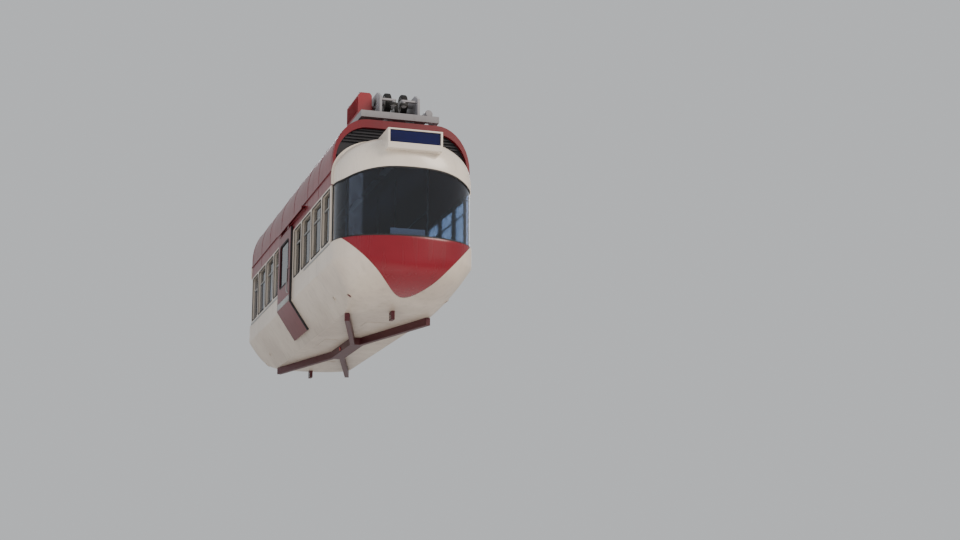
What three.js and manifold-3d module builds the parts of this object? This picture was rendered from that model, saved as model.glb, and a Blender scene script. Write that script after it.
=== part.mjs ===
// A double-ended suspended monorail car. Millimetres, +Z up, the length along Y.
// The front end faces -Y and the car's own left side is +X.
// The origin is where the load wheels bear on the track, midway between the bogies.
import * as THREE from 'three';
import { mergeVertices } from 'three/addons/utils/BufferGeometryUtils.js';
import Module from 'manifold-3d';

const wasm = await Module();
wasm.setup();

// Driving heights
const ROOF_TOP = -330;
const SHOULDER = -1130;
const WINDOW_TOP = -1560;
const SILL = -2610;
const WAIST = -2960;
const FLOOR = -3460;
const BOTTOM = -3660;

// Driving widths and lengths
const HALF_WIDTH = 1250;
const ROOF_FLAT = 630;
const BOTTOM_HALF = 780;
const NOSE_TIP = -5000;
const ROOF_FRONT = -4150;
const SCREEN_END = -4050;
const NOSE_SEAM = -3000;
const WALL = 50;

// Gap between parts, depth that a joined form sinks into its carrier, half-width of a cutter past the car
const GAP = 0.3;
const BITE = 5;
const PAST = 2000;

// Nose
const GLASS_HALF = 1225;
const PLAN_POWER = 2.15;
const NOSE_STEPS = 20;
const BELLY_DEPTH = 1700;
const BELLY_DROP_POWER = 2.9;
const BELLY_REACH_POWER = 1.6;
const VISOR_START = -1380;
const VISOR_TOP = -760;
const VISOR_FLAT = 420;
const VISOR_SET_BACK = 450;
const VISOR_WALL = 45;
const SCREEN_SET_BACK = 12;
const SCREEN_THICK = 14;
const SCREEN_CORNER_DROP = 185;
const CHIN_TIP = -3535;
const PANEL_SEAM = 4;

// Doors
const DOOR_HALF = 550;
const DOOR_HEAD = -1600;
const LEAF_HALF = 620;
const LEAF_CLEAR = 8;
const LEAF_THICK = 40;
const LEAF_TOP = -1480;

// Bogies
const BOGIE_CENTRE = 3300;
const FRAME_TOP = -110;
const FRAME_UNDER = -230;
const FRAME_HALF_WIDTH = 720;
const FRAME_HALF_LENGTH = 700;
const WHEEL_RADIUS = 190;
const WHEEL_IN = 90;
const WHEEL_OUT = 210;
const WHEEL_SPACING = 260;
const GUIDE_RADIUS = 80;
const GUIDE_SPACING = 560;
const GUIDE_OFFSET = 95;
const CHEEK_IN = 330;
const CHEEK_OUT = 372;
const AXLE_RADIUS = 34;
const PIN_RADIUS = 20;

// A closed geometry as a solid that can be joined and cut.
function solid(geometry) {
  const bare = geometry.clone();
  bare.deleteAttribute('normal');
  bare.deleteAttribute('uv');
  const merged = mergeVertices(bare, 1e-3);
  return new wasm.Manifold(new wasm.Mesh({
    numProp: 3,
    vertProperties: Float32Array.from(merged.attributes.position.array),
    triVerts: Uint32Array.from(merged.index.array),
  }));
}

// A solid back as a geometry.
function geometryOf(body) {
  const mesh = body.getMesh();
  const geometry = new THREE.BufferGeometry();
  geometry.setAttribute('position', new THREE.BufferAttribute(mesh.vertProperties, 3));
  geometry.setIndex(new THREE.BufferAttribute(mesh.triVerts, 1));
  geometry.computeVertexNormals();
  return geometry;
}

function join(...bodies) {
  return bodies.reduce((sum, body) => sum.add(body));
}

// A block between two corners.
function block([x0, x1], [y0, y1], [z0, z1]) {
  const box = new THREE.BoxGeometry(x1 - x0, y1 - y0, z1 - z0);
  box.translate((x0 + x1) / 2, (y0 + y1) / 2, (z0 + z1) / 2);
  return solid(box);
}

// A round bar along X, Y or Z, with its middle line through the point given.
function bar(axis, radius, [from, to], [u, v], sides = 14) {
  const round = new THREE.CylinderGeometry(radius, radius, to - from, sides);
  const middle = (from + to) / 2;
  if (axis === 'x') {
    round.rotateZ(Math.PI / 2).translate(middle, u, v);
  } else if (axis === 'y') {
    round.translate(u, middle, v);
  } else {
    round.rotateX(Math.PI / 2).translate(u, v, middle);
  }
  return solid(round);
}

// An outline of [x, z] points, swept along Y.
function prismY(points, [y0, y1]) {
  const shape = new THREE.Shape(points.map(([x, z]) => new THREE.Vector2(x, z)));
  const swept = new THREE.ExtrudeGeometry(shape, { depth: y1 - y0, bevelEnabled: false });
  swept.rotateX(Math.PI / 2).translate(0, y1, 0);
  return solid(swept);
}

// An outline of [y, z] points, swept along X.
function prismX(points, [x0, x1]) {
  const shape = new THREE.Shape(points.map(([y, z]) => new THREE.Vector2(y, z)));
  const swept = new THREE.ExtrudeGeometry(shape, { depth: x1 - x0, bevelEnabled: false });
  swept.rotateX(Math.PI / 2).rotateZ(Math.PI / 2).translate(x0, 0, 0);
  return solid(swept);
}

function mirrored(points) {
  return [...points, ...points.map(([x, z]) => [-x, z]).reverse()];
}

// Half of the roof's outline, from the window top to the middle, moved in by an inset.
function roofHalf(inset, crown = inset) {
  const points = [[HALF_WIDTH - inset, WINDOW_TOP]];
  const steps = 10;
  for (let i = 0; i <= steps; i += 1) {
    const angle = (Math.PI / 2) * (i / steps);
    const x = ROOF_FLAT + (HALF_WIDTH - inset - ROOF_FLAT) * Math.cos(angle);
    const z = SHOULDER + (ROOF_TOP - crown - SHOULDER) * Math.sin(angle);
    points.push([x, z]);
  }
  return points;
}

// Half-width of the outer skin at a height below the shoulder.
function skinHalf(z) {
  const below = Math.max(0, WAIST - z);
  return HALF_WIDTH - (below * (HALF_WIDTH - BOTTOM_HALF)) / (WAIST - BOTTOM);
}

// One level of the nose: straight sides from the back, then a rounded front.
// A level is { z, half, front, side }, and side is where the straight part ends.
function planRing(level, back, inset) {
  const half = level.half - inset;
  const front = level.front + inset;
  const curve = level.side - level.front;
  const points = [[-half, back]];
  for (let i = 0; i <= NOSE_STEPS; i += 1) {
    const angle = Math.PI * (1 - i / NOSE_STEPS);
    const across = Math.cos(angle);
    const along = Math.max(0, Math.sin(angle));
    const x = half * Math.sign(across) * Math.abs(across) ** (2 / PLAN_POWER);
    points.push([x, front + curve - curve * along ** (2 / PLAN_POWER)]);
  }
  points.push([half, back]);
  return points.map(([x, y]) => new THREE.Vector3(x, y, level.z));
}

// A closed loft through rings that all have the same number of points.
function loft(rings) {
  const count = rings[0].length;
  const flat = rings[0].map((p) => new THREE.Vector2(p.x, p.y));
  const cap = THREE.ShapeUtils.triangulateShape(flat, []);
  const index = [];
  const last = (rings.length - 1) * count;
  cap.forEach(([a, b, c]) => index.push(a, c, b, last + a, last + b, last + c));
  for (let k = 0; k + 1 < rings.length; k += 1) {
    for (let i = 0; i < count; i += 1) {
      const a = k * count + i;
      const b = k * count + ((i + 1) % count);
      index.push(a, b, b + count, a, b + count, a + count);
    }
  }
  const geometry = new THREE.BufferGeometry();
  const positions = rings.flat().flatMap((p) => [p.x, p.y, p.z]);
  geometry.setAttribute('position', new THREE.Float32BufferAttribute(positions, 3));
  geometry.setIndex(index);
  return solid(geometry);
}

function noseBody(levels, back, inset = 0) {
  return loft(levels.map((level) => planRing(level, back, inset)));
}

// Levels of the lower nose, from the belly up: it curves under from the waist, and is upright above it.
const lowerLevels = [];
const LOWER_STEPS = 8;
for (let i = 0; i <= LOWER_STEPS; i += 1) {
  const angle = (Math.PI / 2) * (1 - i / LOWER_STEPS);
  const drop = Math.sin(angle) ** (2 / BELLY_DROP_POWER);
  const set = 1 - Math.cos(angle) ** (2 / BELLY_REACH_POWER);
  const z = WAIST + (BOTTOM - WAIST) * drop;
  lowerLevels.push({
    z,
    half: skinHalf(z),
    front: NOSE_TIP + BELLY_DEPTH * set,
    side: ROOF_FRONT + (NOSE_SEAM - 50 - ROOF_FRONT) * set,
    lift: Math.sin(angle),
  });
}
lowerLevels.push({ z: SILL, half: HALF_WIDTH, front: NOSE_TIP, side: ROOF_FRONT, lift: 0 });

// Levels of the upper nose: upright glass, then the visor leaning back over it.
const upperLevels = [{ z: SILL, half: GLASS_HALF, front: NOSE_TIP, side: ROOF_FRONT }];
const UPPER_STEPS = 7;
for (let i = 0; i <= UPPER_STEPS; i += 1) {
  const angle = (Math.PI / 2) * (i / UPPER_STEPS);
  upperLevels.push({
    z: VISOR_START + (VISOR_TOP - VISOR_START) * Math.sin(angle),
    half: VISOR_FLAT + (GLASS_HALF - VISOR_FLAT) * Math.cos(angle),
    front: NOSE_TIP + VISOR_SET_BACK * (1 - Math.cos(angle)),
    side: ROOF_FRONT,
  });
}

// The lower edge of the visor seen from the front, dropping towards the corners.
function screenArch(offset) {
  const points = [];
  const steps = 8;
  const edge = HALF_WIDTH + 60;
  const level = GLASS_HALF - 80;
  for (let i = -steps; i <= steps; i += 1) {
    const x = (edge * i) / steps;
    const share = Math.min(1, Math.abs(x) / level);
    points.push([x, VISOR_START + offset - SCREEN_CORNER_DROP * share ** 3]);
  }
  return points;
}

// Everything above the arch, as a cutter.
function aboveArch(offset) {
  const wide = HALF_WIDTH + 60;
  const outline = [...screenArch(offset), [wide, 0], [-wide, 0]];
  return prismY(outline, [NOSE_TIP - 200, SCREEN_END + 400]);
}

const lowerOuter = noseBody(lowerLevels, NOSE_SEAM - GAP / 2);

// The room inside the lower nose, with its skin as thick as an inset.
function lowerRoom(inset) {
  const levels = lowerLevels.map((level) => ({ ...level, z: level.z + inset * level.lift }));
  levels.at(-1).z = SILL + 20;
  return noseBody(levels, NOSE_SEAM + 100, inset);
}

// The chin's outline from the front: straight flanks down to where the tip's rounding starts.
const CHIN = { half: 1149, round: [560, -3222], corner: 259 };
function chinOutline(grow) {
  const right = [[CHIN.half + grow, SILL + 100], [CHIN.half + grow, SILL]];
  const steps = 6;
  for (let i = 0; i <= steps; i += 1) {
    const t = i / steps;
    const side = (1 - t) ** 2;
    const corner = 2 * t * (1 - t);
    const x = CHIN.round[0] * side + CHIN.corner * corner;
    const z = CHIN.round[1] * side + CHIN_TIP * (corner + t * t);
    right.push([x + grow * (1 - t), z - grow * t]);
  }
  const left = right.slice(0, -1).map(([x, z]) => [-x, z]).reverse();
  return [...right, ...left].reverse();
}
const CHIN_REACH = [NOSE_TIP - 100, ROOF_FRONT + 450];

const noseSkin = lowerOuter.subtract(lowerRoom(WALL));
const chinCut = prismY(chinOutline(PANEL_SEAM), CHIN_REACH);

// Round fittings let into the shell's lower corners: a marker lamp and a jacking socket on each side.
// Columns: middle of the fitting, direction that it faces, outer radius.
const FITTINGS = [
  [[870, -3981, -3491], [0.58, -0.17, -0.79], 58],
  [[962, -3170, -3389], [0.83, 0, -0.56], 46],
];
const BEZEL = { width: 12, proud: 9, depth: 12, root: 45 };
function roundPlug(centre, direction, radius, from, to) {
  const plug = new THREE.CylinderGeometry(radius, radius, to - from, 16);
  plug.translate(0, (from + to) / 2, 0);
  const turn = new THREE.Quaternion().setFromUnitVectors(
    new THREE.Vector3(0, 1, 0),
    new THREE.Vector3(...direction).normalize(),
  );
  plug.applyQuaternion(turn).translate(...centre);
  return solid(plug);
}
let noseShell = noseSkin.subtract(chinCut);
for (const [centre, direction, radius] of FITTINGS) {
  const ring = roundPlug(centre, direction, radius, -BEZEL.root, BEZEL.proud);
  const dish = roundPlug(centre, direction, radius - BEZEL.width, -BEZEL.depth, BEZEL.proud + 10);
  noseShell = noseShell.add(ring).add(ring.mirror([1, 0, 0]));
  noseShell = noseShell.subtract(dish).subtract(dish.mirror([1, 0, 0]));
}
const chinPanel = noseSkin.intersect(prismY(chinOutline(0), CHIN_REACH));

// Sign housing: a flat-topped box over the screen, open to a pocket for its glass.
const SIGN = { half: 490, front: -5060, top: -730, low: -1090, pocket: 30 };
const SIGN_GLASS = { half: 450, top: -760, low: -980, thick: 12 };
const visorBack = block([-PAST, PAST], [ROOF_FRONT - GAP, ROOF_FRONT + 200], [WAIST, 0]);
const visorOuter = noseBody(upperLevels, ROOF_FRONT + 20).subtract(visorBack);
const visorInner = noseBody(upperLevels, ROOF_FRONT + 50, VISOR_WALL);
const signBox = block([-SIGN.half, SIGN.half], [SIGN.front, ROOF_FRONT - GAP], [SIGN.low, SIGN.top]);
const signPocket = block(
  [-SIGN_GLASS.half - GAP, SIGN_GLASS.half + GAP],
  [SIGN.front - 10, SIGN.front + SIGN.pocket],
  [SIGN_GLASS.low - GAP, SIGN_GLASS.top + GAP],
);
const visor = visorOuter.intersect(aboveArch(0)).add(signBox).subtract(visorInner).subtract(signPocket);
const signGlass = block(
  [-SIGN_GLASS.half, SIGN_GLASS.half],
  [SIGN.front + SIGN.pocket - GAP - SIGN_GLASS.thick, SIGN.front + SIGN.pocket - GAP],
  [SIGN_GLASS.low, SIGN_GLASS.top],
);

// Windscreen: one wrap-round pane under the visor's arch.
const paneLevels = upperLevels.slice(0, 4);
paneLevels[0] = { ...paneLevels[0], z: SILL + GAP };
const screenOuter = noseBody(paneLevels, SCREEN_END - 0.5, SCREEN_SET_BACK);
const screenInner = noseBody(
  paneLevels.map((level, i) => ({ ...level, z: i === 0 ? SILL - 10 : level.z + i })),
  SCREEN_END + 50,
  SCREEN_SET_BACK + SCREEN_THICK,
);
const windscreen = screenOuter.subtract(screenInner).subtract(aboveArch(-3));

// Roof shell with its front lips, the door hoods' rails and the bogie pedestals.
const LIP_DEPTH = 80;
const LIP_CROWN = 150;
const PEDESTAL = { radius: 200, top: -240, bore: 125, neck: 72.5, flange: 20 };
const roofOutline = mirrored(roofHalf(0));

// The outline with its lower ends taken past the window top, so that it cuts right through.
function openBelow(outline) {
  return outline.map(([x, z]) => [x, z === WINDOW_TOP ? z - 20 : z]);
}
const roofInner = openBelow(mirrored(roofHalf(WALL)));
const roofLip = openBelow(mirrored(roofHalf(WALL, LIP_CROWN)));
let roof = prismY(roofOutline, [ROOF_FRONT, -ROOF_FRONT]);
roof = roof.subtract(prismY(roofInner, [ROOF_FRONT + LIP_DEPTH, -ROOF_FRONT - LIP_DEPTH]));
roof = roof.subtract(prismY(roofLip, [ROOF_FRONT - 50, -ROOF_FRONT + 50]));
for (const y of [-BOGIE_CENTRE, BOGIE_CENTRE]) {
  roof = roof.add(bar('z', PEDESTAL.radius, [ROOF_TOP - 10, PEDESTAL.top], [0, y], 28));
  roof = roof.subtract(bar('z', PEDESTAL.bore, [ROOF_TOP - 80, PEDESTAL.top - PEDESTAL.flange], [0, y], 28));
  roof = roof.subtract(bar('z', PEDESTAL.neck, [PEDESTAL.top - 60, PEDESTAL.top + 10], [0, y], 28));
}

// Door rails: a shelf that each leaf's toe rests on, under a hood.
const RAIL = {
  out: 1290, under: -1445, top: -1425, hood: -1385, hoodTop: -1370, lip: 1316, lipOut: 1328,
};
const RAIL_REACH = [-LEAF_HALF - 40, LEAF_HALF + 1190];
function railOn(side) {
  const shelf = block([HALF_WIDTH - BITE, RAIL.out], RAIL_REACH, [RAIL.under, RAIL.top]);
  const hood = block([HALF_WIDTH - BITE, RAIL.lipOut], RAIL_REACH, [RAIL.hood, RAIL.hoodTop]);
  const lip = block([RAIL.lip, RAIL.lipOut], RAIL_REACH, [RAIL.top, RAIL.hood + 1]);
  const rail = join(shelf, hood, lip);
  return side > 0 ? rail : rail.rotate(0, 0, 180);
}
roof = join(roof, railOn(1), railOn(-1));

// Drip rails over the windows, and low ventilators along the crown.
const DRIP = { low: -1320, high: -1302, out: 1272, reach: 4110 };
const VENT = { half: 240, long: 420, slope: 90, top: -262, at: [-1300, 0, 1300] };
const dripRail = block([HALF_WIDTH - BITE, DRIP.out], [-DRIP.reach, DRIP.reach], [DRIP.low, DRIP.high]);
roof = join(roof, dripRail, dripRail.mirror([1, 0, 0]));
for (const y of VENT.at) {
  const ventOutline = [
    [y - VENT.long - VENT.slope, ROOF_TOP - BITE], [y + VENT.long + VENT.slope, ROOF_TOP - BITE],
    [y + VENT.long, VENT.top], [y - VENT.long, VENT.top],
  ];
  roof = roof.add(prismX(ventOutline, [-VENT.half, VENT.half]));
}

// Lower body of the middle part: flanks and belly in one trough, cut for the doorways.
const troughOutline = [[HALF_WIDTH, SILL], [HALF_WIDTH, WAIST], [BOTTOM_HALF, BOTTOM]];
const troughInner = [
  [HALF_WIDTH - WALL, SILL + 20],
  [HALF_WIDTH - WALL, WAIST + 10],
  [BOTTOM_HALF - WALL + 15, BOTTOM + WALL],
];
const doorway = block([-PAST, PAST], [-DOOR_HALF, DOOR_HALF], [FLOOR, DOOR_HEAD]);
let trough = prismY(mirrored(troughOutline), [NOSE_SEAM + GAP / 2, -NOSE_SEAM - GAP / 2]);
trough = trough.subtract(prismY(mirrored(troughInner), [NOSE_SEAM - 50, -NOSE_SEAM + 50]));
trough = trough.subtract(doorway);

// Floor deck, fitted inside the skin from nose to nose, on cross-bearers.
const DECK = { thick: 60, clear: 8, bearerHalf: 690, bearerLong: 100 };
const BEARER_YS = [-2400, -1200, 0, 1200, 2400];
const slab = block([-PAST, PAST], [NOSE_TIP, NOSE_SEAM + 10], [FLOOR - DECK.thick, FLOOR]);
const deckNose = slab.intersect(lowerRoom(WALL + DECK.clear));
const deckOutline = troughInner.map(([x, z]) => [x - DECK.clear, z]);
const deckMiddle = prismY(mirrored(deckOutline), [NOSE_SEAM + 5, -NOSE_SEAM - 5]);
let deck = join(
  deckMiddle.intersect(block([-PAST, PAST], [NOSE_TIP, -NOSE_TIP], [FLOOR - DECK.thick, FLOOR])),
  deckNose,
  deckNose.rotate(0, 0, 180),
);
for (const y of BEARER_YS) {
  const reach = [y - DECK.bearerLong / 2, y + DECK.bearerLong / 2];
  const bearer = block([-DECK.bearerHalf, DECK.bearerHalf], reach, [BOTTOM + WALL + GAP, FLOOR - BITE]);
  deck = deck.add(bearer);
}

// An outline of [y, z] points with rounded corners.
function roundedPane([y0, y1], [z0, z1], radius) {
  const points = [];
  const corners = [[y1 - radius, z0 + radius, -90], [y1 - radius, z1 - radius, 0],
    [y0 + radius, z1 - radius, 90], [y0 + radius, z0 + radius, 180]];
  for (const [y, z, start] of corners) {
    for (let i = 0; i <= 3; i += 1) {
      const angle = THREE.MathUtils.degToRad(start + i * 30);
      points.push([y + radius * Math.cos(angle), z + radius * Math.sin(angle)]);
    }
  }
  return points;
}

// Side walls: the window band between sill and roof, with a doorway in the middle.
const WINDOW = { low: SILL + 70, high: WINDOW_TOP - 45, radius: 60 };
const WINDOW_BAYS = [[-3970, -3330], [-3230, -2410], [-2310, -1490], [-1390, -760]];
const wallHeight = [SILL + GAP, WINDOW_TOP - GAP];
let wall = block([HALF_WIDTH - WALL, HALF_WIDTH], [SCREEN_END, -SCREEN_END], wallHeight);
for (const [from, to] of WINDOW_BAYS) {
  const pane = roundedPane([from, to], [WINDOW.low, WINDOW.high], WINDOW.radius);
  const hole = prismX(pane, [HALF_WIDTH - WALL - 20, HALF_WIDTH + 20]);
  wall = wall.subtract(hole).subtract(hole.mirror([0, 1, 0]));
}
wall = wall.subtract(doorway);

// Side glass: one strip behind the pillars on each side of a doorway.
const GLASS = { thick: 14, from: SCREEN_END + 10, to: -700 };
const sideGlass = block(
  [HALF_WIDTH - WALL - GAP - GLASS.thick, HALF_WIDTH - WALL - GAP],
  [GLASS.from, GLASS.to],
  [WINDOW.low - 30, WINDOW.high + 30],
);

// Door leaf: a bent panel outside the skin, hung by a toe on its rail.
const leafInner = HALF_WIDTH + LEAF_CLEAR;
const leafOuter = leafInner + LEAF_THICK;
const LEAF_FOOT = { inner: [895, -3500], outer: [930, -3523] };
const leafOutline = [
  [leafInner, LEAF_TOP], [leafInner, WAIST + 2], LEAF_FOOT.inner,
  LEAF_FOOT.outer, [leafOuter, WAIST - 12], [leafOuter, LEAF_TOP],
];
const LEAF_PANE = { half: 430, low: -2540, high: -1680, radius: 70, thick: 12, inset: 10 };
const leafHole = prismX(
  roundedPane([-LEAF_PANE.half, LEAF_PANE.half], [LEAF_PANE.low, LEAF_PANE.high], LEAF_PANE.radius),
  [leafInner - 20, leafOuter + 20],
);
const HANGER = {
  from: 1280, blade: 1296, out: 1310, toe: 1262,
  low: -1485, shoulder: -1452, top: -1400, long: 160, at: 400,
};
let leaf = prismY(leafOutline, [-LEAF_HALF, LEAF_HALF]).subtract(leafHole);
for (const y of [-HANGER.at, HANGER.at]) {
  const reach = [y - HANGER.long / 2, y + HANGER.long / 2];
  leaf = join(
    leaf,
    block([HANGER.from, HANGER.out], reach, [HANGER.low, HANGER.shoulder]),
    block([HANGER.blade, HANGER.out], reach, [HANGER.low, HANGER.top]),
    block([HANGER.toe, HANGER.out], reach, [RAIL.top + GAP, HANGER.top]),
  );
}
const leafGlass = prismX(
  roundedPane(
    [-LEAF_PANE.half + GAP, LEAF_PANE.half - GAP],
    [LEAF_PANE.low + GAP, LEAF_PANE.high - GAP],
    LEAF_PANE.radius,
  ),
  [leafInner + LEAF_PANE.inset, leafInner + LEAF_PANE.inset + LEAF_PANE.thick],
);

// Intake behind the roof's front lip: a dark plate with slats.
const INTAKE = { front: ROOF_FRONT + LIP_DEPTH + GAP, thick: 25, low: -1000 };
const SLAT = { count: 5, pitch: 56, half: 9, deep: 30, reach: 1200, clear: 12, first: 35 };
const plateOutline = mirrored(roofHalf(WALL + GAP, WALL + GAP));
let intake = prismY(plateOutline, [INTAKE.front, INTAKE.front + INTAKE.thick]);
intake = intake.subtract(block([-PAST, PAST], [NOSE_TIP, NOSE_SEAM], [WINDOW_TOP - 40, INTAKE.low]));
const slatOutline = mirrored(roofHalf(WALL + SLAT.clear, LIP_CROWN + SLAT.clear));
const slatRoom = prismY(slatOutline, [ROOF_FRONT, INTAKE.front + BITE]);
for (let i = 0; i < SLAT.count; i += 1) {
  const z = ROOF_TOP - LIP_CROWN - SLAT.first - i * SLAT.pitch;
  const slatDepth = [INTAKE.front - SLAT.deep, INTAKE.front + BITE];
  const slat = block([-SLAT.reach, SLAT.reach], slatDepth, [z - SLAT.half, z + SLAT.half]);
  intake = intake.add(slat.intersect(slatRoom));
}

// Bench: a seat and back along the wall on a plinth, with a grab pole at each end and a rail.
const BENCH_REACH = [-3150, -700];
const benchOutline = [
  [735, -3120], [1070, -3120], [1165, -2975], [1178, -2640],
  [1115, -2640], [1085, -3015], [1060, -3030], [735, -3010],
];
const BENCH_PLINTH = { from: 760, to: 820, short: 80, top: -3115 };
const POLE = { radius: 16, x: 762, foot: -3100, top: -408.5, rail: -1640, at: [-3110, -740] };
const plinthReach = [BENCH_REACH[0] + BENCH_PLINTH.short, BENCH_REACH[1] - BENCH_PLINTH.short];
const plinth = block([BENCH_PLINTH.from, BENCH_PLINTH.to], plinthReach, [FLOOR + GAP, BENCH_PLINTH.top]);
const poles = POLE.at.map((y) => bar('z', POLE.radius, [POLE.foot, POLE.top], [POLE.x, y], 10));
const grabRail = bar('y', POLE.radius - 2, POLE.at, [POLE.x, POLE.rail], 10);
const bench = join(prismY(benchOutline, BENCH_REACH), plinth, ...poles, grabRail);

// Cab desk: pedestal, top and a blank upright panel behind the glass.
const DESK = { back: -4080, front: -4600, half: 820, low: -2720, top: -2660 };
const DESK_FOOT = { half: 350, front: -4280 };
const UPRIGHT = { half: 310, from: -4590, to: -4565, top: -2380 };
const desk = join(
  block([-DESK_FOOT.half, DESK_FOOT.half], [DESK_FOOT.front, DESK.back], [FLOOR + GAP, DESK.top - BITE]),
  block([-DESK.half, DESK.half], [DESK.front, DESK.back], [DESK.low, DESK.top]),
  block([-UPRIGHT.half, UPRIGHT.half], [UPRIGHT.from, UPRIGHT.to], [DESK.top - BITE, UPRIGHT.top]),
);

// Keel under the belly: a middle beam with a pair of arms to each end's lower corners.
const KEEL = { top: BOTTOM - GAP, low: -3800, half: 130, reach: 900 };
const KEEL_ARM = { tip: [745, -3270], root: [60, -760], half: 45 };
const armLength = Math.hypot(KEEL_ARM.tip[0] - KEEL_ARM.root[0], KEEL_ARM.tip[1] - KEEL_ARM.root[1]);
const armTurn = THREE.MathUtils.radToDeg(
  Math.atan2(KEEL_ARM.tip[1] - KEEL_ARM.root[1], KEEL_ARM.tip[0] - KEEL_ARM.root[0]),
);
const arm = block([0, armLength], [-KEEL_ARM.half, KEEL_ARM.half], [KEEL.low, KEEL.top])
  .rotate(0, 0, armTurn)
  .translate([KEEL_ARM.root[0], KEEL_ARM.root[1], 0]);
const armPair = arm.add(arm.mirror([1, 0, 0]));
const keel = join(
  block([-KEEL.half, KEEL.half], [-KEEL.reach, KEEL.reach], [KEEL.low, KEEL.top]),
  armPair,
  armPair.rotate(0, 0, 180),
);

// Tow lug: a plate hanging from the belly, cut to its curve.
const LUG = { half: 30, from: -3640, to: -3460, low: -3800, top: -3560, bore: 28, eye: [70, 60] };
const lug = block([-LUG.half, LUG.half], [LUG.from, LUG.to], [LUG.low, LUG.top])
  .subtract(lowerOuter.translate([0, 0, -GAP]))
  .subtract(bar('x', LUG.bore, [-100, 100], [LUG.to - LUG.eye[0], LUG.low + LUG.eye[1]]));

// Bogie frame: a ladder under the track's flange, a cheek up each side, axles and guide arms.
const CHEEK = { half: 650, crown: 430, shoulder: 200, top: 330 };
const cheekOutline = [
  [-CHEEK.half, FRAME_TOP - BITE], [CHEEK.half, FRAME_TOP - BITE], [CHEEK.half, CHEEK.shoulder],
  [CHEEK.crown, CHEEK.top], [-CHEEK.crown, CHEEK.top], [-CHEEK.half, CHEEK.shoulder],
];
const GUSSET = { out: 440, top: 120, at: 490, half: 9 };
const AIR_TANK = { x: 540, z: -55, radius: 75, half: 640, dome: 56, domeHalf: 665 };
const KINGPIN = { radius: 70, low: -300, disc: 110 };
const AXLE = { collar: 50, washer: 60, washerFrom: 76, washerTo: 87, clear: 5 };
const GUIDE = { low: 60, high: 120, armLow: 150, armHigh: 185, armHalf: 36, washer: 34 };
const signs = [-1, 1];

function between(a, b) {
  return [Math.min(a, b), Math.max(a, b)];
}

let frame = block(
  [-FRAME_HALF_WIDTH, FRAME_HALF_WIDTH],
  [-FRAME_HALF_LENGTH, FRAME_HALF_LENGTH],
  [FRAME_UNDER, FRAME_TOP],
);
const WELL = { x: [130, 290], y: [290, 620] };
const TANK_BAY = { x: [430, 650], y: [60, 600] };
const through = [FRAME_UNDER - 10, FRAME_TOP + 10];
for (const sy of signs) {
  for (const sx of signs) {
    const across = between(sx * WELL.x[0], sx * WELL.x[1]);
    frame = frame.subtract(block(across, between(sy * WELL.y[0], sy * WELL.y[1]), through));
  }
  frame = frame.subtract(block(TANK_BAY.x, between(sy * TANK_BAY.y[0], sy * TANK_BAY.y[1]), through));
}
const discTop = PEDESTAL.top - PEDESTAL.flange - GAP;
frame = frame.add(bar('z', KINGPIN.radius, [KINGPIN.low, FRAME_UNDER + BITE], [0, 0], 28));
frame = frame.add(bar('z', KINGPIN.disc, [KINGPIN.low, discTop], [0, 0], 28));
for (const sx of signs) {
  frame = frame.add(prismX(cheekOutline, between(sx * CHEEK_IN, sx * CHEEK_OUT)));
  for (const sy of signs) {
    const root = sx * (CHEEK_OUT - BITE);
    const foot = FRAME_TOP - BITE;
    const gusset = [[root, foot], [sx * GUSSET.out, foot], [root, GUSSET.top]];
    frame = frame.add(prismY(
      sx > 0 ? gusset : gusset.reverse(),
      [sy * GUSSET.at - GUSSET.half, sy * GUSSET.at + GUSSET.half],
    ));
  }
  for (const sy of signs) {
    const axleAt = [sy * WHEEL_SPACING, WHEEL_RADIUS];
    const guideAt = [sx * GUIDE_OFFSET, sy * GUIDE_SPACING];
    const armReach = [guideAt[1] - GUIDE.armHalf, guideAt[1] + GUIDE.armHalf];
    frame = join(
      frame,
      bar('x', AXLE_RADIUS, between(sx * AXLE.washerFrom, sx * (CHEEK_IN + BITE)), axleAt),
      bar('x', AXLE.washer, between(sx * AXLE.washerFrom, sx * AXLE.washerTo), axleAt),
      bar('x', AXLE.collar, between(sx * (WHEEL_OUT + AXLE.clear), sx * (CHEEK_IN + BITE)), axleAt),
      block(between(sx * 55, sx * (CHEEK_IN + BITE)), armReach, [GUIDE.armLow, GUIDE.armHigh]),
      bar('z', PIN_RADIUS, [GUIDE.low - 15, GUIDE.armLow + BITE], guideAt, 10),
      bar('z', GUIDE.washer, [GUIDE.low - 15, GUIDE.low - 3], guideAt, 10),
      bar('z', GUIDE.washer, [GUIDE.high + 3, GUIDE.armLow + BITE], guideAt, 10),
    );
  }
}

frame = join(
  frame,
  bar('y', AIR_TANK.radius, [-AIR_TANK.half, AIR_TANK.half], [AIR_TANK.x, AIR_TANK.z], 16),
  bar('y', AIR_TANK.dome, [-AIR_TANK.domeHalf, AIR_TANK.domeHalf], [AIR_TANK.x, AIR_TANK.z], 16),
);

// Load wheel: a rubber tyre on a dished rim, turning on its axle. Columns: radius, across.
const TYRE_PROFILE = [
  [AXLE_RADIUS + 1.4, -60], [70, -60], [120, -32], [132, -56], [172, -56], [WHEEL_RADIUS, -36],
];
// Guide wheel, on its upright pin. Columns: radius, across.
const GUIDE_PROFILE = [[PIN_RADIUS + 1.2, -30], [44, -30], [72, -26], [GUIDE_RADIUS, -16]];

function wheel(profile, segments) {
  const far = profile.map(([r, a]) => [r, -a]).reverse();
  const points = [...profile, ...far, profile[0]].map(([r, a]) => new THREE.Vector2(r, a));
  return solid(new THREE.LatheGeometry(points, segments));
}
const loadWheel = wheel(TYRE_PROFILE, 20).rotate(0, 0, 90);
const guideWheel = wheel(GUIDE_PROFILE, 14).rotate(90, 0, 0);

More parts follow.
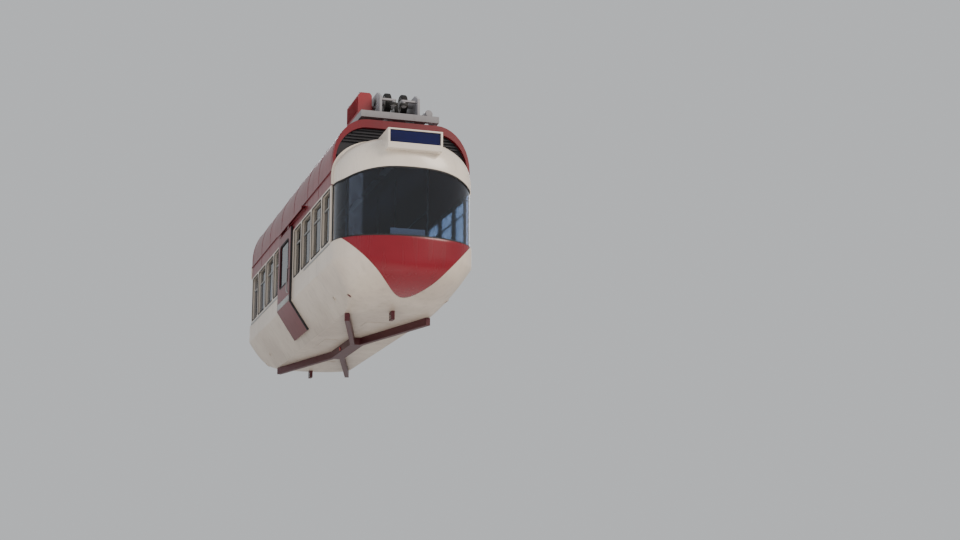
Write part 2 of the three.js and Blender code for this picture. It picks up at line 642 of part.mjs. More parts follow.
// Drive unit: the motor in its red case on the ladder, with a gear neck to the cheek.
const DRIVE = { out: 720, in: 470, top: 300, bevel: 45, half: 450, neck: 90, neckHeight: 80 };
const driveOutline = [
  [-DRIVE.out, FRAME_TOP + GAP], [-DRIVE.in, FRAME_TOP + GAP], [-DRIVE.in, DRIVE.top - DRIVE.bevel],
  [-DRIVE.in - DRIVE.bevel, DRIVE.top], [-DRIVE.out + DRIVE.bevel, DRIVE.top],
  [-DRIVE.out, DRIVE.top - DRIVE.bevel],
];
const FIN = { count: 9, pitch: 92, half: 7, proud: 18, low: -60, high: 225, inset: 60 };
const GEAR_FLANGE = { radius: 130, thick: 24 };
const gearFlangeReach = [-CHEEK_OUT - GAP - GEAR_FLANGE.thick, -CHEEK_OUT - GAP];
let drive = join(
  prismY(driveOutline, [-DRIVE.half, DRIVE.half]),
  bar('x', DRIVE.neck, [-DRIVE.in - BITE, -CHEEK_OUT - GAP], [0, DRIVE.neckHeight]),
  bar('x', GEAR_FLANGE.radius, gearFlangeReach, [0, DRIVE.neckHeight], 20),
);
const finTop = [-DRIVE.out + FIN.inset, -DRIVE.in - FIN.inset];
for (let i = 0; i < FIN.count; i += 1) {
  const y = (i - (FIN.count - 1) / 2) * FIN.pitch;
  const reach = [y - FIN.half, y + FIN.half];
  drive = join(
    drive,
    block([-DRIVE.out - FIN.proud, -DRIVE.out + BITE], reach, [FIN.low, FIN.high]),
    block(finTop, reach, [DRIVE.top - BITE, DRIVE.top + FIN.proud]),
  );
}

const FINISHES = {
  red: { color: 0x9a2733, roughness: 0.35, metalness: 0 },
  ivory: { color: 0xe4dcd2, roughness: 0.4, metalness: 0 },
  glass: { color: 0x1c2a3c, roughness: 0.08, metalness: 0 },
  sign: { color: 0x1a2250, roughness: 0.15, metalness: 0 },
  dark: { color: 0x24202a, roughness: 0.6, metalness: 0.2 },
  maroon: { color: 0x6a2630, roughness: 0.5, metalness: 0.1 },
  floor: { color: 0x6c6660, roughness: 0.8, metalness: 0 },
  seat: { color: 0x3c4a66, roughness: 0.85, metalness: 0 },
  desk: { color: 0x8fa6bd, roughness: 0.6, metalness: 0 },
  steel: { color: 0xb9b6b8, roughness: 0.45, metalness: 0.6 },
  rubber: { color: 0x222022, roughness: 0.9, metalness: 0 },
};

const car = new THREE.Group();
car.name = 'monorail_car';

function place(name, body, finish, parent = car) {
  const mesh = new THREE.Mesh(geometryOf(body), new THREE.MeshStandardMaterial(FINISHES[finish]));
  mesh.name = name;
  parent.add(mesh);
  return mesh;
}

place('roof_shell', roof, 'red');
place('lower_shell', trough, 'ivory');
place('floor_deck', deck, 'floor');
place('under_keel', keel, 'maroon');

// Both sides: the right side is the left one turned half round, so its front half is the left side's rear.
const farGlass = sideGlass.mirror([0, 1, 0]);
const farBench = bench.mirror([0, 1, 0]);
for (const [side, turn, near, far] of [['left', 0, 'front', 'rear'], ['right', Math.PI, 'rear', 'front']]) {
  const flank = new THREE.Group();
  flank.rotation.z = turn;
  car.add(flank);
  place(`wall_${side}`, wall, 'ivory', flank);
  place(`door_leaf_${side}`, leaf, 'red', flank);
  place(`door_glass_${side}`, leafGlass, 'glass', flank);
  place(`side_glass_${side}_${near}`, sideGlass, 'glass', flank);
  place(`side_glass_${side}_${far}`, farGlass, 'glass', flank);
  place(`bench_${side}_${near}`, bench, 'seat', flank);
  place(`bench_${side}_${far}`, farBench, 'seat', flank);
}

// Both ends: the rear one is the front one turned half round.
for (const [end, turn] of [['front', 0], ['rear', Math.PI]]) {
  const nose = new THREE.Group();
  nose.rotation.z = turn;
  car.add(nose);
  place(`nose_shell_${end}`, noseShell, 'ivory', nose);
  place(`chin_panel_${end}`, chinPanel, 'red', nose);
  place(`visor_${end}`, visor, 'ivory', nose);
  place(`windscreen_${end}`, windscreen, 'glass', nose);
  place(`sign_glass_${end}`, signGlass, 'sign', nose);
  place(`intake_${end}`, intake, 'dark', nose);
  place(`cab_desk_${end}`, desk, 'desk', nose);
  place(`tow_lug_${end}`, lug, 'maroon', nose);

  const bogie = new THREE.Group();
  bogie.position.y = -BOGIE_CENTRE;
  nose.add(bogie);
  place(`bogie_frame_${end}`, frame, 'steel', bogie);
  place(`drive_unit_${end}`, drive, 'red', bogie);
  let number = 0;
  for (const sy of signs) {
    for (const sx of signs) {
      number += 1;
      const load = place(`load_wheel_${end}_${number}`, loadWheel, 'rubber', bogie);
      load.position.set((sx * (WHEEL_IN + WHEEL_OUT)) / 2, sy * WHEEL_SPACING, WHEEL_RADIUS);
      const guide = place(`guide_wheel_${end}_${number}`, guideWheel, 'rubber', bogie);
      guide.position.set(sx * GUIDE_OFFSET, sy * GUIDE_SPACING, (GUIDE.low + GUIDE.high) / 2);
    }
  }
}

export default car;
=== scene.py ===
import math

import bmesh
import bpy
from mathutils import Matrix, Vector


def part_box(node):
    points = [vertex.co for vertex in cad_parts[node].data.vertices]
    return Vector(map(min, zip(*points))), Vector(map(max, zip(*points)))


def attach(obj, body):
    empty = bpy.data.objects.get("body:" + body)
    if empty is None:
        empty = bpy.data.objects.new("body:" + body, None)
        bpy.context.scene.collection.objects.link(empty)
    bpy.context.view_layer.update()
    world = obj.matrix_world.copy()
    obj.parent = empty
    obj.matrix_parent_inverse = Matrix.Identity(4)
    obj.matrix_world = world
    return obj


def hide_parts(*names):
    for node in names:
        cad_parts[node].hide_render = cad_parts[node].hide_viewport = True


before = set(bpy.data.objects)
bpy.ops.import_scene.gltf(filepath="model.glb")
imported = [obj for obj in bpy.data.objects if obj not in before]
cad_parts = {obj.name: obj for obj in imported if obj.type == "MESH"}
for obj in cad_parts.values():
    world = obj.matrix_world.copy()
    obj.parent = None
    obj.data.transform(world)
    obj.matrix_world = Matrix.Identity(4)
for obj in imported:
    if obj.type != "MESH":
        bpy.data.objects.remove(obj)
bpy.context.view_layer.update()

# Studio
# The car hangs in the air and is seen from below, so the camera lies just over the floor.
# A pale floor, a pale sky of even light and four large soft lamps.
CAMERA_AT = Vector((-6.893, -30.56, -9.044))
CAMERA_TURN = math.radians(17.52)
CAMERA_TILT = math.radians(12.47)
LENS_MM = 60.1
FLOOR_Z = CAMERA_AT.z - 0.06
FLOOR_SIZE = 600.0


def paint_colour(code):
    """An sRGB hex colour as linear RGBA."""
    parts = [int(code[i:i + 2], 16) / 255 for i in (0, 2, 4)]
    linear = [c / 12.92 if c <= 0.04045 else ((c + 0.055) / 1.055) ** 2.4 for c in parts]
    return (*linear, 1.0)


# The output that each kind of node is here for.
OUTPUTS = {
    "TexCoord": "Object", "TexNoise": "Fac", "TexWave": "Fac", "SeparateXYZ": "Z", "Mapping": "Vector",
    "MapRange": "Result", "Mix": "Result", "Math": "Value", "Bump": "Normal", "LightPath": "Is Shadow Ray",
    "BsdfPrincipled": "BSDF", "BsdfTransparent": "BSDF", "MixShader": "Shader",
}


def add_node(tree, kind, inputs=None, **settings):
    """Adds a node with its settings and hands over its output. Each input is a plain value or such an output."""
    node = tree.nodes.new("ShaderNode" + kind)
    for name, value in settings.items():
        setattr(node, name, value)
    for name, value in (inputs or {}).items():
        if isinstance(value, bpy.types.NodeSocket):
            tree.links.new(value, node.inputs[name])
        else:
            node.inputs[name].default_value = value
    return node.outputs[OUTPUTS[kind]] if kind in OUTPUTS else node


def new_finish(name):
    """An empty node material, its tree, and the place on the piece that its patterns follow."""
    finish = bpy.data.materials.new(name)
    finish.use_nodes = True
    tree = finish.node_tree
    tree.nodes.clear()
    return finish, tree, add_node(tree, "TexCoord")


def mottled(tree, code, other_code, patches):
    """A colour that drifts between two in soft patches, whose size and softness are given."""
    clouds = add_node(tree, "TexNoise", patches)
    return add_node(tree, "Mix", {
        "Factor": clouds, "A": paint_colour(code), "B": paint_colour(other_code),
    }, data_type="RGBA")


def coated(tree, inputs, grain=None, depth=0.0):
    """Ends a finish with its surface. Its grain, if it has one, raises it by part of a millimetre."""
    if grain:
        bump = add_node(tree, "Bump", {"Height": grain, "Strength": depth, "Distance": 0.001})
        inputs["Normal"] = bump
    surface = add_node(tree, "BsdfPrincipled", inputs)
    add_node(tree, "OutputMaterial", {"Surface": surface})


def nothing_selected():
    """Leaves edit mode and deselects all, so that an operator acts on its own piece."""
    if bpy.context.object and bpy.context.object.mode != "OBJECT":
        bpy.ops.object.mode_set(mode="OBJECT")
    bpy.ops.object.select_all(action="DESELECT")


def put_down(name, data):
    """A new object in the scene, made of the given data."""
    thing = bpy.data.objects.new(name, data)
    bpy.context.scene.collection.objects.link(thing)
    return thing


def basic_shape(operator, **settings):
    """Adds a shape by its operator, with nothing else selected, and hands it over."""
    nothing_selected()
    operator(**settings)
    return bpy.context.object


camera_data = bpy.data.cameras.new("camera")
camera_data.lens = LENS_MM
camera_data.clip_end = 500
camera = put_down("camera", camera_data)
camera.location = CAMERA_AT
camera.rotation_euler = (math.pi / 2 + CAMERA_TILT, 0, -CAMERA_TURN)
bpy.context.scene.camera = camera

# Matt floor paint: almost white, with a faint cloudiness a few metres across.
floor_paint, tree, place = new_finish("matt_floor_paint")
shade = mottled(tree, "d9d7d4", "e2e0dd", {"Vector": place, "Scale": 0.25, "Detail": 3.0})
coated(tree, {"Base Color": shade, "Roughness": 0.9})
studio_floor = basic_shape(
    bpy.ops.mesh.primitive_grid_add, x_subdivisions=8, y_subdivisions=8, size=FLOOR_SIZE, location=(0, 0, FLOOR_Z),
)
studio_floor.name = "studio_floor"
studio_floor.data.materials.append(floor_paint)

sky = bpy.data.worlds.new("soft_sky")
sky.use_nodes = True
sky.node_tree.nodes["Background"].inputs["Color"].default_value = paint_colour("e8ebee")
sky.node_tree.nodes["Background"].inputs["Strength"].default_value = 0.7
bpy.context.scene.world = sky

# Columns: name, where it stands, size in metres, power in watts, colour.
LAMPS = [
    ("key_lamp", (11.0, -16.0, 9.0), 9.0, 3000, "fff4e8"),
    ("fill_lamp", (-17.0, -10.0, 1.0), 11.0, 1100, "eef3ff"),
    ("belly_lamp", (-2.0, -11.0, -8.5), 8.0, 620, "fff8f0"),
    ("back_lamp", (6.0, 18.0, 7.0), 10.0, 2000, "f4f6ff"),
]
car_middle = Vector((0, 0, -1.9))
for name, at, size, power, colour in LAMPS:
    lamp_data = bpy.data.lights.new(name, "AREA")
    lamp_data.size = size
    lamp_data.energy = power
    lamp_data.color = paint_colour(colour)[:3]
    lamp = put_down(name, lamp_data)
    lamp.location = at
    lamp.visible_glossy = name not in ("fill_lamp", "belly_lamp")
    lamp.rotation_euler = (car_middle - Vector(at)).to_track_quat("-Z", "Y").to_euler()

# Roof
# One long shell of riveted light-metal sheet, sprayed red, with a deep lip at each end.
# Cover straps hide its sheet joints, and a drip rail keeps the rain off the windows.
MM = 0.001


def sprayed_paint(name, code, faded_code, roughness, streak_and_shade_code="5a4a40", shade_from=0.0, shade_to=-1.0, shade_depth=0.0):
    """Gloss paint sprayed on sheet metal: faded in clouds, with rain streaks, painted shade that darkens it in
    blotches towards the bottom, and a faint orange peel.
    """
    finish, tree, place = new_finish(name)
    clouds = add_node(tree, "TexNoise", {"Vector": place, "Scale": 0.9, "Detail": 4.0, "Roughness": 0.6})
    fading = add_node(tree, "MapRange", {"Value": clouds, "From Min": 0.35, "From Max": 0.75, "To Max": 0.7})
    colour = add_node(tree, "Mix", {
        "Factor": fading, "A": paint_colour(code), "B": paint_colour(faded_code),
    }, data_type="RGBA")
    tall = add_node(tree, "Mapping", {"Vector": place, "Scale": (9.0, 9.0, 0.6)})
    streaks = add_node(tree, "TexNoise", {"Vector": tall, "Scale": 1.0, "Detail": 5.0})
    thin = add_node(tree, "MapRange", {"Value": streaks, "From Min": 0.5, "From Max": 0.8, "To Max": 0.16})
    # Painted shade: from one height down to another the colour darkens in cloudy blotches, heaviest at the bottom.
    height = add_node(tree, "SeparateXYZ", {"Vector": place})
    low = add_node(tree, "MapRange", {
        "Value": height, "From Min": shade_from, "From Max": shade_to, "To Max": shade_depth,
    })
    shade_blotches = add_node(tree, "Math", {0: low, 1: clouds}, operation="MULTIPLY")
    # The rain streaks are dirt, and the blotches are painted shade.
    streaks_and_shade = add_node(tree, "Math", {0: shade_blotches, 1: thin}, operation="ADD", use_clamp=True)
    streaked_and_shaded = add_node(tree, "Mix", {"Factor": streaks_and_shade, "A": colour, "B": paint_colour(streak_and_shade_code)}, data_type="RGBA")
    dull = add_node(tree, "MapRange", {"Value": streaks_and_shade, "To Min": roughness, "To Max": roughness + 0.35})
    peel = add_node(tree, "TexNoise", {"Vector": place, "Scale": 300.0, "Detail": 1.0})
    coated(tree, {"Base Color": streaked_and_shaded, "Roughness": dull, "Coat Weight": 0.12, "Coat Roughness": 0.15}, peel, 0.04)
    return finish


def bare_metal(name, code, roughness, grain=(1.0, 1.0, 1.0)):
    """Weathered metal: a dull sheen with fine scratches along its grain."""
    finish, tree, place = new_finish(name)
    along = add_node(tree, "Mapping", {"Vector": place, "Scale": grain})
    grains = add_node(tree, "TexNoise", {"Vector": along, "Scale": 60.0, "Detail": 6.0})
    darker = tuple(0.6 * part for part in paint_colour(code)[:3]) + (1.0,)
    colour = add_node(tree, "Mix", {"Factor": grains, "A": darker, "B": paint_colour(code)}, data_type="RGBA")
    dull = add_node(tree, "MapRange", {"Value": grains, "To Min": roughness - 0.1, "To Max": roughness + 0.12})
    coated(tree, {"Base Color": colour, "Roughness": dull, "Metallic": 0.9}, grains, 0.12)
    return finish


def take_up(piece):
    """Makes a piece the only one selected, and the active one."""
    nothing_selected()
    piece.select_set(True)
    bpy.context.view_layer.objects.active = piece


def settle(piece):
    """Puts the place, turn and scale of a piece into its mesh."""
    take_up(piece)
    bpy.ops.object.transform_apply(location=True, rotation=True, scale=True)
    return piece


def open_up(piece):
    """Opens a piece in edit mode, with all of its mesh selected."""
    take_up(piece)
    bpy.ops.object.mode_set(mode="EDIT")
    bpy.ops.mesh.select_all(action="SELECT")


def work(piece, kind, **settings):
    """Adds a modifier to a piece and applies it."""
    take_up(piece)
    step = piece.modifiers.new(kind.lower(), kind)
    for name, value in settings.items():
        setattr(step, name, value)
    bpy.ops.object.modifier_apply(modifier=step.name)
    return piece


def round_edges(piece, width, segments=2, sharp=50):
    """Rounds the edges that are sharper than an angle in degrees."""
    limit = math.radians(sharp)
    return work(piece, "BEVEL", width=width, segments=segments, limit_method="ANGLE", angle_limit=limit)


def smooth(piece, angle=40):
    """Shades a piece smooth across edges that are blunter than an angle in degrees."""
    take_up(piece)
    bpy.ops.object.shade_smooth_by_angle(angle=math.radians(angle))
    return piece


def ease_edges(piece, width, segments=2, sharp=35):
    """Rounds the hard edges and evens the shading of the flat faces beside them."""
    smooth(round_edges(piece, width, segments, sharp), 50)
    return work(piece, "WEIGHTED_NORMAL", keep_sharp=True)


def remade(node, name, width, segments=2, sharp=35):
    """A clean copy of a CAD node: its loose triangles merged, its flat faces made whole, and its edges eased."""
    piece = put_down(name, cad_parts[node].data.copy())
    piece.data.materials.clear()
    open_up(piece)
    bpy.ops.mesh.remove_doubles(threshold=0.00005)
    bpy.ops.mesh.customdata_custom_splitnormals_clear()
    bpy.ops.mesh.dissolve_limited(angle_limit=math.radians(0.5))
    bpy.ops.object.mode_set(mode="OBJECT")
    return ease_edges(piece, width, segments, sharp)


def fit(piece, finish, slot, *nodes, body="car"):
    """Sets a finished piece down in the frame: its place in its mesh, its finish, body and CAD nodes; its slot is
    not used.
    """
    settle(piece)
    piece.data.materials.clear()
    piece.data.materials.append(finish)
    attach(piece, body)
    if nodes:
        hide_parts(*nodes)
    return piece


def gathered(name, parts):
    """Joins loose parts into one piece."""
    nothing_selected()
    for part in parts:
        part.select_set(True)
    bpy.context.view_layer.objects.active = parts[0]
    bpy.ops.object.join()
    parts[0].name = name
    return parts[0]


def slab(low, high, name="slab"):
    """A block between any two opposite corners, in metres."""
    piece = basic_shape(bpy.ops.mesh.primitive_cube_add, size=1)
    piece.name = name
    piece.scale = [abs(b - a) for a, b in zip(low, high)]
    piece.location = [(a + b) / 2 for a, b in zip(low, high)]
    return settle(piece)


ROOF_TOP = -0.330
SHOULDER = -1.130
HALF_WIDTH = 1.250
ROOF_FLAT = 0.630
STRAP_HALF = 0.030
STRAP_PROUD = 0.003
RIVET_RADIUS = 0.007


def on_roof(turn):
    """A point of the roof's outline, as x and z: 0 is the shoulder, 1 the crown's edge, and less goes down."""
    if turn < 0:
        return HALF_WIDTH, SHOULDER + turn
    angle = turn * math.pi / 2
    x = ROOF_FLAT + (HALF_WIDTH - ROOF_FLAT) * math.cos(angle)
    return x, SHOULDER + (ROOF_TOP - SHOULDER) * math.sin(angle)


red_paint = sprayed_paint("red_coach_paint", "650814", "761420", 0.34, "3c1a1a")
roof = remade("roof_shell", "roof_skin", 4 * MM)
fit(roof, red_paint, "roof_red", "roof_shell")

# Roof straps
# Cover straps of flat bar bent over the roof at each sheet joint, with snap-head rivets down both edges.
STRAP_YS = [-4.05, -2.95, -1.95, -0.65, 0.65, 1.95, 2.95, 4.05]
strap_turns = [-0.38] + [step / 16 for step in range(17)]


def pattern_of(piece):
    """Keeps a small part's mesh as a pattern and takes the part itself away."""
    mesh = piece.data
    bpy.data.objects.remove(piece)
    return mesh


def snap_head(radius):
    """The pattern of a snap-head rivet: a low dome of a few faces."""
    head = basic_shape(bpy.ops.mesh.primitive_uv_sphere_add, segments=8, ring_count=6, radius=radius)
    open_up(head)
    bpy.ops.mesh.bisect(plane_co=(0, 0, 0), plane_no=(0, 0, 1), clear_inner=True, use_fill=True)
    bpy.ops.object.mode_set(mode="OBJECT")
    head.scale.z = 0.55
    return pattern_of(settle(head))


def facing(at, outward):
    """The move that takes a part made round Z at the origin to its place, facing outwards."""
    return Matrix.Translation(at) @ Vector(outward).to_track_quat("Z", "Y").to_matrix().to_4x4()


def copies(name, pattern, places):
    """One piece made of a pattern set down at many places. Columns: point, outward direction."""
    made = bmesh.new()
    for at, outward in places:
        part = pattern.copy()
        part.transform(facing(at, outward))
        made.from_mesh(part)
        bpy.data.meshes.remove(part)
    mesh = bpy.data.meshes.new(name)
    made.to_mesh(mesh)
    made.free()
    return put_down(name, mesh)


rivet_pattern = snap_head(RIVET_RADIUS)
strap_parts = []
rivet_places = []
for y in STRAP_YS:
    arch = [on_roof(turn) for turn in strap_turns]
    arch += [(-x, z) for x, z in reversed(arch)]
    strap = basic_shape(bpy.ops.mesh.primitive_grid_add, x_subdivisions=len(arch) - 1, y_subdivisions=1, size=1)
    for point in strap.data.vertices:
        x, z = arch[round((point.co.x + 0.5) * (len(arch) - 1))]
        point.co = (x, y + point.co.y * 2 * STRAP_HALF, z)
    work(strap, "SOLIDIFY", thickness=2 * STRAP_PROUD, offset=0)
    strap_parts.append(strap)
    for x, z in arch[1:-1:2]:
        outward = Vector((x / 0.9, 0, max(0.0, z - SHOULDER) / 0.5))
        for edge in (-0.018, 0.018):
            rivet_places.append(((x, y + edge, z + STRAP_PROUD * 0.8), outward))
straps = ease_edges(gathered("roof_straps", strap_parts), 1 * MM, segments=1)
fit(straps, red_paint, "roof_red")
rivets = copies("roof_rivets", rivet_pattern, rivet_places)
fit(rivets, red_paint, "roof_red")

# Lower body
# A trough of light-metal sheet under the windows, sprayed ivory, which carries the floor.
# Rows of rivets show where it is fixed to its frames, and a bright rub strip runs along each sill.
SILL = -2.610
WAIST = -2.960
BOTTOM = -3.660
BOTTOM_HALF = 0.780
NOSE_SEAM = -3.000
DOOR_HALF = 0.550
DOWN, UP = (0, 0, -1), (0, 0, 1)
FRAME_YS = [-2.90, -2.10, -1.40, -0.70, 0.70, 1.40, 2.10, 2.90]

# The ivory darkens to grey-brown in blotches from the waist down to the belly: painted shade under the car.
ivory_paint = sprayed_paint(
    "ivory_coach_paint", "d3c6b6", "c2b3a5", 0.34,
    streak_and_shade_code="6d5c4e", shade_from=-2.9, shade_to=-3.75, shade_depth=0.75,
)
belly = remade("lower_shell", "belly_skin", 8 * MM, segments=3, sharp=30)
fit(belly, ivory_paint, "body_ivory", "lower_shell")


def on_flank(z):
    """Half-width of the body's skin at a height below the shoulder."""
    below = max(0.0, WAIST - z)
    return HALF_WIDTH - below * (HALF_WIDTH - BOTTOM_HALF) / (WAIST - BOTTOM)


def row(low, high, pitch):
    """Steps at an even pitch from one end of a row to the other."""
    at = low
    while at < high:
        yield at
        at += pitch


slope = Vector((WAIST - BOTTOM, 0, BOTTOM_HALF - HALF_WIDTH)).normalized()
small_head = snap_head(0.005)
places = []
for side in (1, -1):
    for y in FRAME_YS:
        for step in range(14):
            z = SILL - 0.05 - step * 0.074
            outward = Vector((side, 0, 0)) if z > WAIST else Vector((side * slope.x, 0, slope.z))
            places.append(((side * on_flank(z), y, z), outward))
    for y in row(-2.95, 2.96, 0.11):
        if abs(y) > DOOR_HALF + 0.12:
            places.append(((side * HALF_WIDTH, y, SILL - 0.03), (side, 0, 0)))
            places.append(((side * on_flank(BOTTOM + 0.05), y, BOTTOM + 0.05), (side * slope.x, 0, slope.z)))
for x in (-0.66, -0.33, 0.33, 0.66):
    places += [((x, y, BOTTOM), DOWN) for y in row(-2.9, 2.91, 0.145)]
fit(copies("belly_rivets", small_head, places), ivory_paint, "body_ivory")

# Sill strips
# A half-round aluminium strip riveted along each sill. It stops short of each doorway,
# and leaves free the stretch of wall that an open leaf slides over.
aluminium = bare_metal("weathered_aluminium", "b9bab9", 0.38, grain=(1.0, 0.08, 1.0))
LEAF_REACH = 1.800
STRIP_END = 4.020
strips = []
for side in (1, -1):
    for end in (1, -1):
        near = LEAF_REACH if end == side else DOOR_HALF + 0.11
        strips.append(slab(
            (side * (HALF_WIDTH - 0.002), end * near, SILL - 0.012),
            (side * (HALF_WIDTH + 0.010), end * STRIP_END, SILL + 0.020),
        ))
fit(ease_edges(gathered("sill_strips", strips), 4 * MM, segments=3), aluminium, "bogie_steel")

# Belly hatches
# Low lids over the wiring and the sand boxes, each held by a ring of screws, between the keel's arms.
# Columns: each lid's right and left edge, then its front and rear edge.
HATCHES = [
    (-0.56, -0.30, -0.55, 0.55), (0.30, 0.56, -0.55, 0.55),
    (-0.22, 0.22, -2.55, -2.05), (-0.22, 0.22, 2.05, 2.55),
]
hatches = []
screws = []
for x0, x1, y0, y1 in HATCHES:
    hatches.append(slab((x0, y0, BOTTOM - 0.006), (x1, y1, BOTTOM + 0.002)))
    for x in (x0 + 0.02, x1 - 0.02):
        for step in range(5):
            y = y0 + 0.02 + step * (y1 - y0 - 0.04) / 4
            screws.append(((x, y, BOTTOM - 0.006), DOWN))
fit(ease_edges(gathered("belly_hatches", hatches), 3 * MM), ivory_paint, "body_ivory")
fit(copies("hatch_screws", small_head, screws), aluminium, "bogie_steel")

# Lower nose
# A moulded shell at each end, upright at the sill and curving under to the belly.
# Its middle is a separate red panel, a broad V with a soft tip, set in with a narrow open seam.
NOSE_TIP = -5.000
ROOF_FRONT = -4.150
PLAN_POWER = 2.15
BELLY_DEPTH = 1.700
BELLY_DROP_POWER = 2.9
BELLY_REACH_POWER = 1.6
WALL = 0.050
SEAM = 0.004


def lower_level(share):
    """A level of the lower nose: z, half-width, front, and where its side ends. 0 is the belly and 1 the sill."""
    upright = 0.15
    if share > 1 - upright:
        z = WAIST + (SILL - WAIST) * (share - 1 + upright) / upright
        return z, on_flank(z), NOSE_TIP, ROOF_FRONT
    angle = math.pi / 2 * (1 - (share / (1 - upright))) ** 1.3
    z = WAIST + (BOTTOM - WAIST) * math.sin(angle) ** (2 / BELLY_DROP_POWER)
    set_back = 1 - max(0.0, math.cos(angle)) ** (2 / BELLY_REACH_POWER)
    side = ROOF_FRONT + (NOSE_SEAM - 0.05 - ROOF_FRONT) * set_back
    return z, on_flank(z), NOSE_TIP + BELLY_DEPTH * set_back, side


def round_the_nose(share, level, back, inset=0.0):
    """A point of one level, from its back edge on the right side (0) round the front to the left side (1)."""
    z, half, front, side = level
    straight = 0.12
    if share < straight or share > 1 - straight:
        edge = share / straight if share < 0.5 else (1 - share) / straight
        x = -(half - inset) if share < 0.5 else half - inset
        return Vector((x, back + (side - back) * edge, z))
    angle = math.pi * (1 - (share - straight) / (1 - 2 * straight))
    across, along = math.cos(angle), max(0.0, math.sin(angle))
    x = (half - inset) * math.copysign(abs(across) ** (2 / PLAN_POWER), across)
    curve = side - front
    return Vector((x, front + inset + curve - curve * along ** (2 / PLAN_POWER), z))


def shaped_sheet(name, columns, rows, place):
    """A grid whose points go to place(across, up), with both shares from 0 to 1."""
    sheet = basic_shape(bpy.ops.mesh.primitive_grid_add, x_subdivisions=columns, y_subdivisions=rows, size=1)
    sheet.name = name
    for point in sheet.data.vertices:
        point.co = place(point.co.x + 0.5, point.co.y + 0.5)
    return sheet


def swept_outline(name, points, low, high):
    """A closed outline of x and z points as a block along Y."""
    block = basic_shape(bpy.ops.mesh.primitive_circle_add, vertices=len(points), fill_type="NGON")
    block.name = name
    for point, (x, z) in zip(block.data.vertices, points):
        point.co = (x, low, z)
    open_up(block)
    bpy.ops.mesh.extrude_region_move(TRANSFORM_OT_translate={"value": (0, high - low, 0)})
    bpy.ops.mesh.select_all(action="SELECT")
    bpy.ops.mesh.normals_make_consistent(inside=False)
    bpy.ops.object.mode_set(mode="OBJECT")
    return block


def cut(piece, tool, how="DIFFERENCE"):
    """Cuts a piece by a tool, joins the two, or keeps what is in both. The tool is used up."""
    work(piece, "BOOLEAN", object=tool, operation=how, solver="EXACT")
    bpy.data.objects.remove(tool)


def thicken(sheet, thickness):
    """Gives a shaped sheet its thickness, inwards, and turns its faces out."""
    work(sheet, "SOLIDIFY", thickness=thickness, offset=-1)
    open_up(sheet)
    bpy.ops.mesh.normals_make_consistent(inside=False)
    bpy.ops.object.mode_set(mode="OBJECT")


def duplicate(piece, name):
    """A second piece with a mesh of its own."""
    twin = piece.copy()
    twin.data = piece.data.copy()
    twin.name = name
    bpy.context.scene.collection.objects.link(twin)
    return twin


def half_turned(piece, name):
    """The same piece for the other end or the other side: turned half round the middle of the car."""
    twin = duplicate(piece, name)
    twin.data.transform(Matrix.Rotation(math.pi, 4, "Z"))
    return twin


def rear(name):
    """The rear's name for a front piece, body or node."""
    return name.replace("front", "rear")


def fit_both(piece, finish, slot, *nodes, body="car"):
    """Fits a front piece, and a copy of it turned half round for the rear."""
    twin = half_turned(piece, rear(piece.name))
    fit(piece, finish, slot, *nodes, body=body)
    fit(twin, finish, slot, *map(rear, nodes), body=rear(body))


def chin_outline(grow):
    """The red panel's outline from the front: straight flanks and a rounded tip, made wider by a seam."""
    right = [(1.149 + grow, SILL + 0.1), (1.149 + grow, SILL)]
    tip_side, tip_low, tip = Vector((0.560, -3.222)), Vector((0.259, -3.535)), Vector((0.0, -3.535))
    for step in range(15):
        t = step / 14
        bend = tip_side * (1 - t) ** 2 + tip_low * (2 * t * (1 - t)) + tip * t ** 2
        right.append((bend.x + grow * (1 - t), bend.y - grow * t))
    left = [(-x, z) for x, z in reversed(right[:-1])]
    return right + left


def lower_nose(across, up):
    """A point of the lower nose: first the flat belly in front of the seam, then up the front to the sill."""
    flat, back = 0.1, NOSE_SEAM - 0.0002
    if up > flat:
        return round_the_nose(across, lower_level((up - flat) / (1 - flat)), back)
    rim = round_the_nose(across, lower_level(0.0), back)
    behind = Vector((BOTTOM_HALF * (2 * across - 1), back, BOTTOM))
    return behind.lerp(rim, up / flat)


nose_sheet = shaped_sheet("nose_sheet", 112, 60, lower_nose)
open_up(nose_sheet)
bpy.ops.mesh.remove_doubles(threshold=0.00005)
bpy.ops.object.mode_set(mode="OBJECT")
thicken(nose_sheet, WALL * 0.9)
chin = duplicate(nose_sheet, "chin_panel_front_skin")
cut(nose_sheet, swept_outline("chin_hole", chin_outline(SEAM), NOSE_TIP - 0.1, -3.7))
cut(chin, swept_outline("chin_keep", chin_outline(0.0), NOSE_TIP - 0.1, -3.7), how="INTERSECT")
nose_sheet.name = "nose_front_skin"


def round_plug(radius, low, high, centre, direction):
    """A round plug along a direction, from one distance to another out of its place."""
    middle = (0, 0, (low + high) / 2)
    plug = basic_shape(
        bpy.ops.mesh.primitive_cylinder_add, vertices=40, radius=radius, depth=high - low, location=middle,
    )
    settle(plug).data.transform(facing(centre, direction))
    return plug


# Round fittings in the lower corners. Columns: middle, direction that it faces, outer radius.
FITTINGS = [
    ((0.870, -3.981, -3.491), (0.58, -0.17, -0.79), 0.058),
    ((0.962, -3.170, -3.389), (0.83, 0.0, -0.56), 0.046),
]
BEZEL_WIDTH, BEZEL_PROUD, DISH_DEPTH, BEZEL_ROOT = 0.012, 0.009, 0.012, 0.042


def on_side(side, fitting):
    """The middle of a round fitting on one side, the way it faces and its radius."""
    (x, y, z), (across, along, up), radius = FITTINGS[fitting]
    return (side * x, y, z), (side * across, along, up), radius


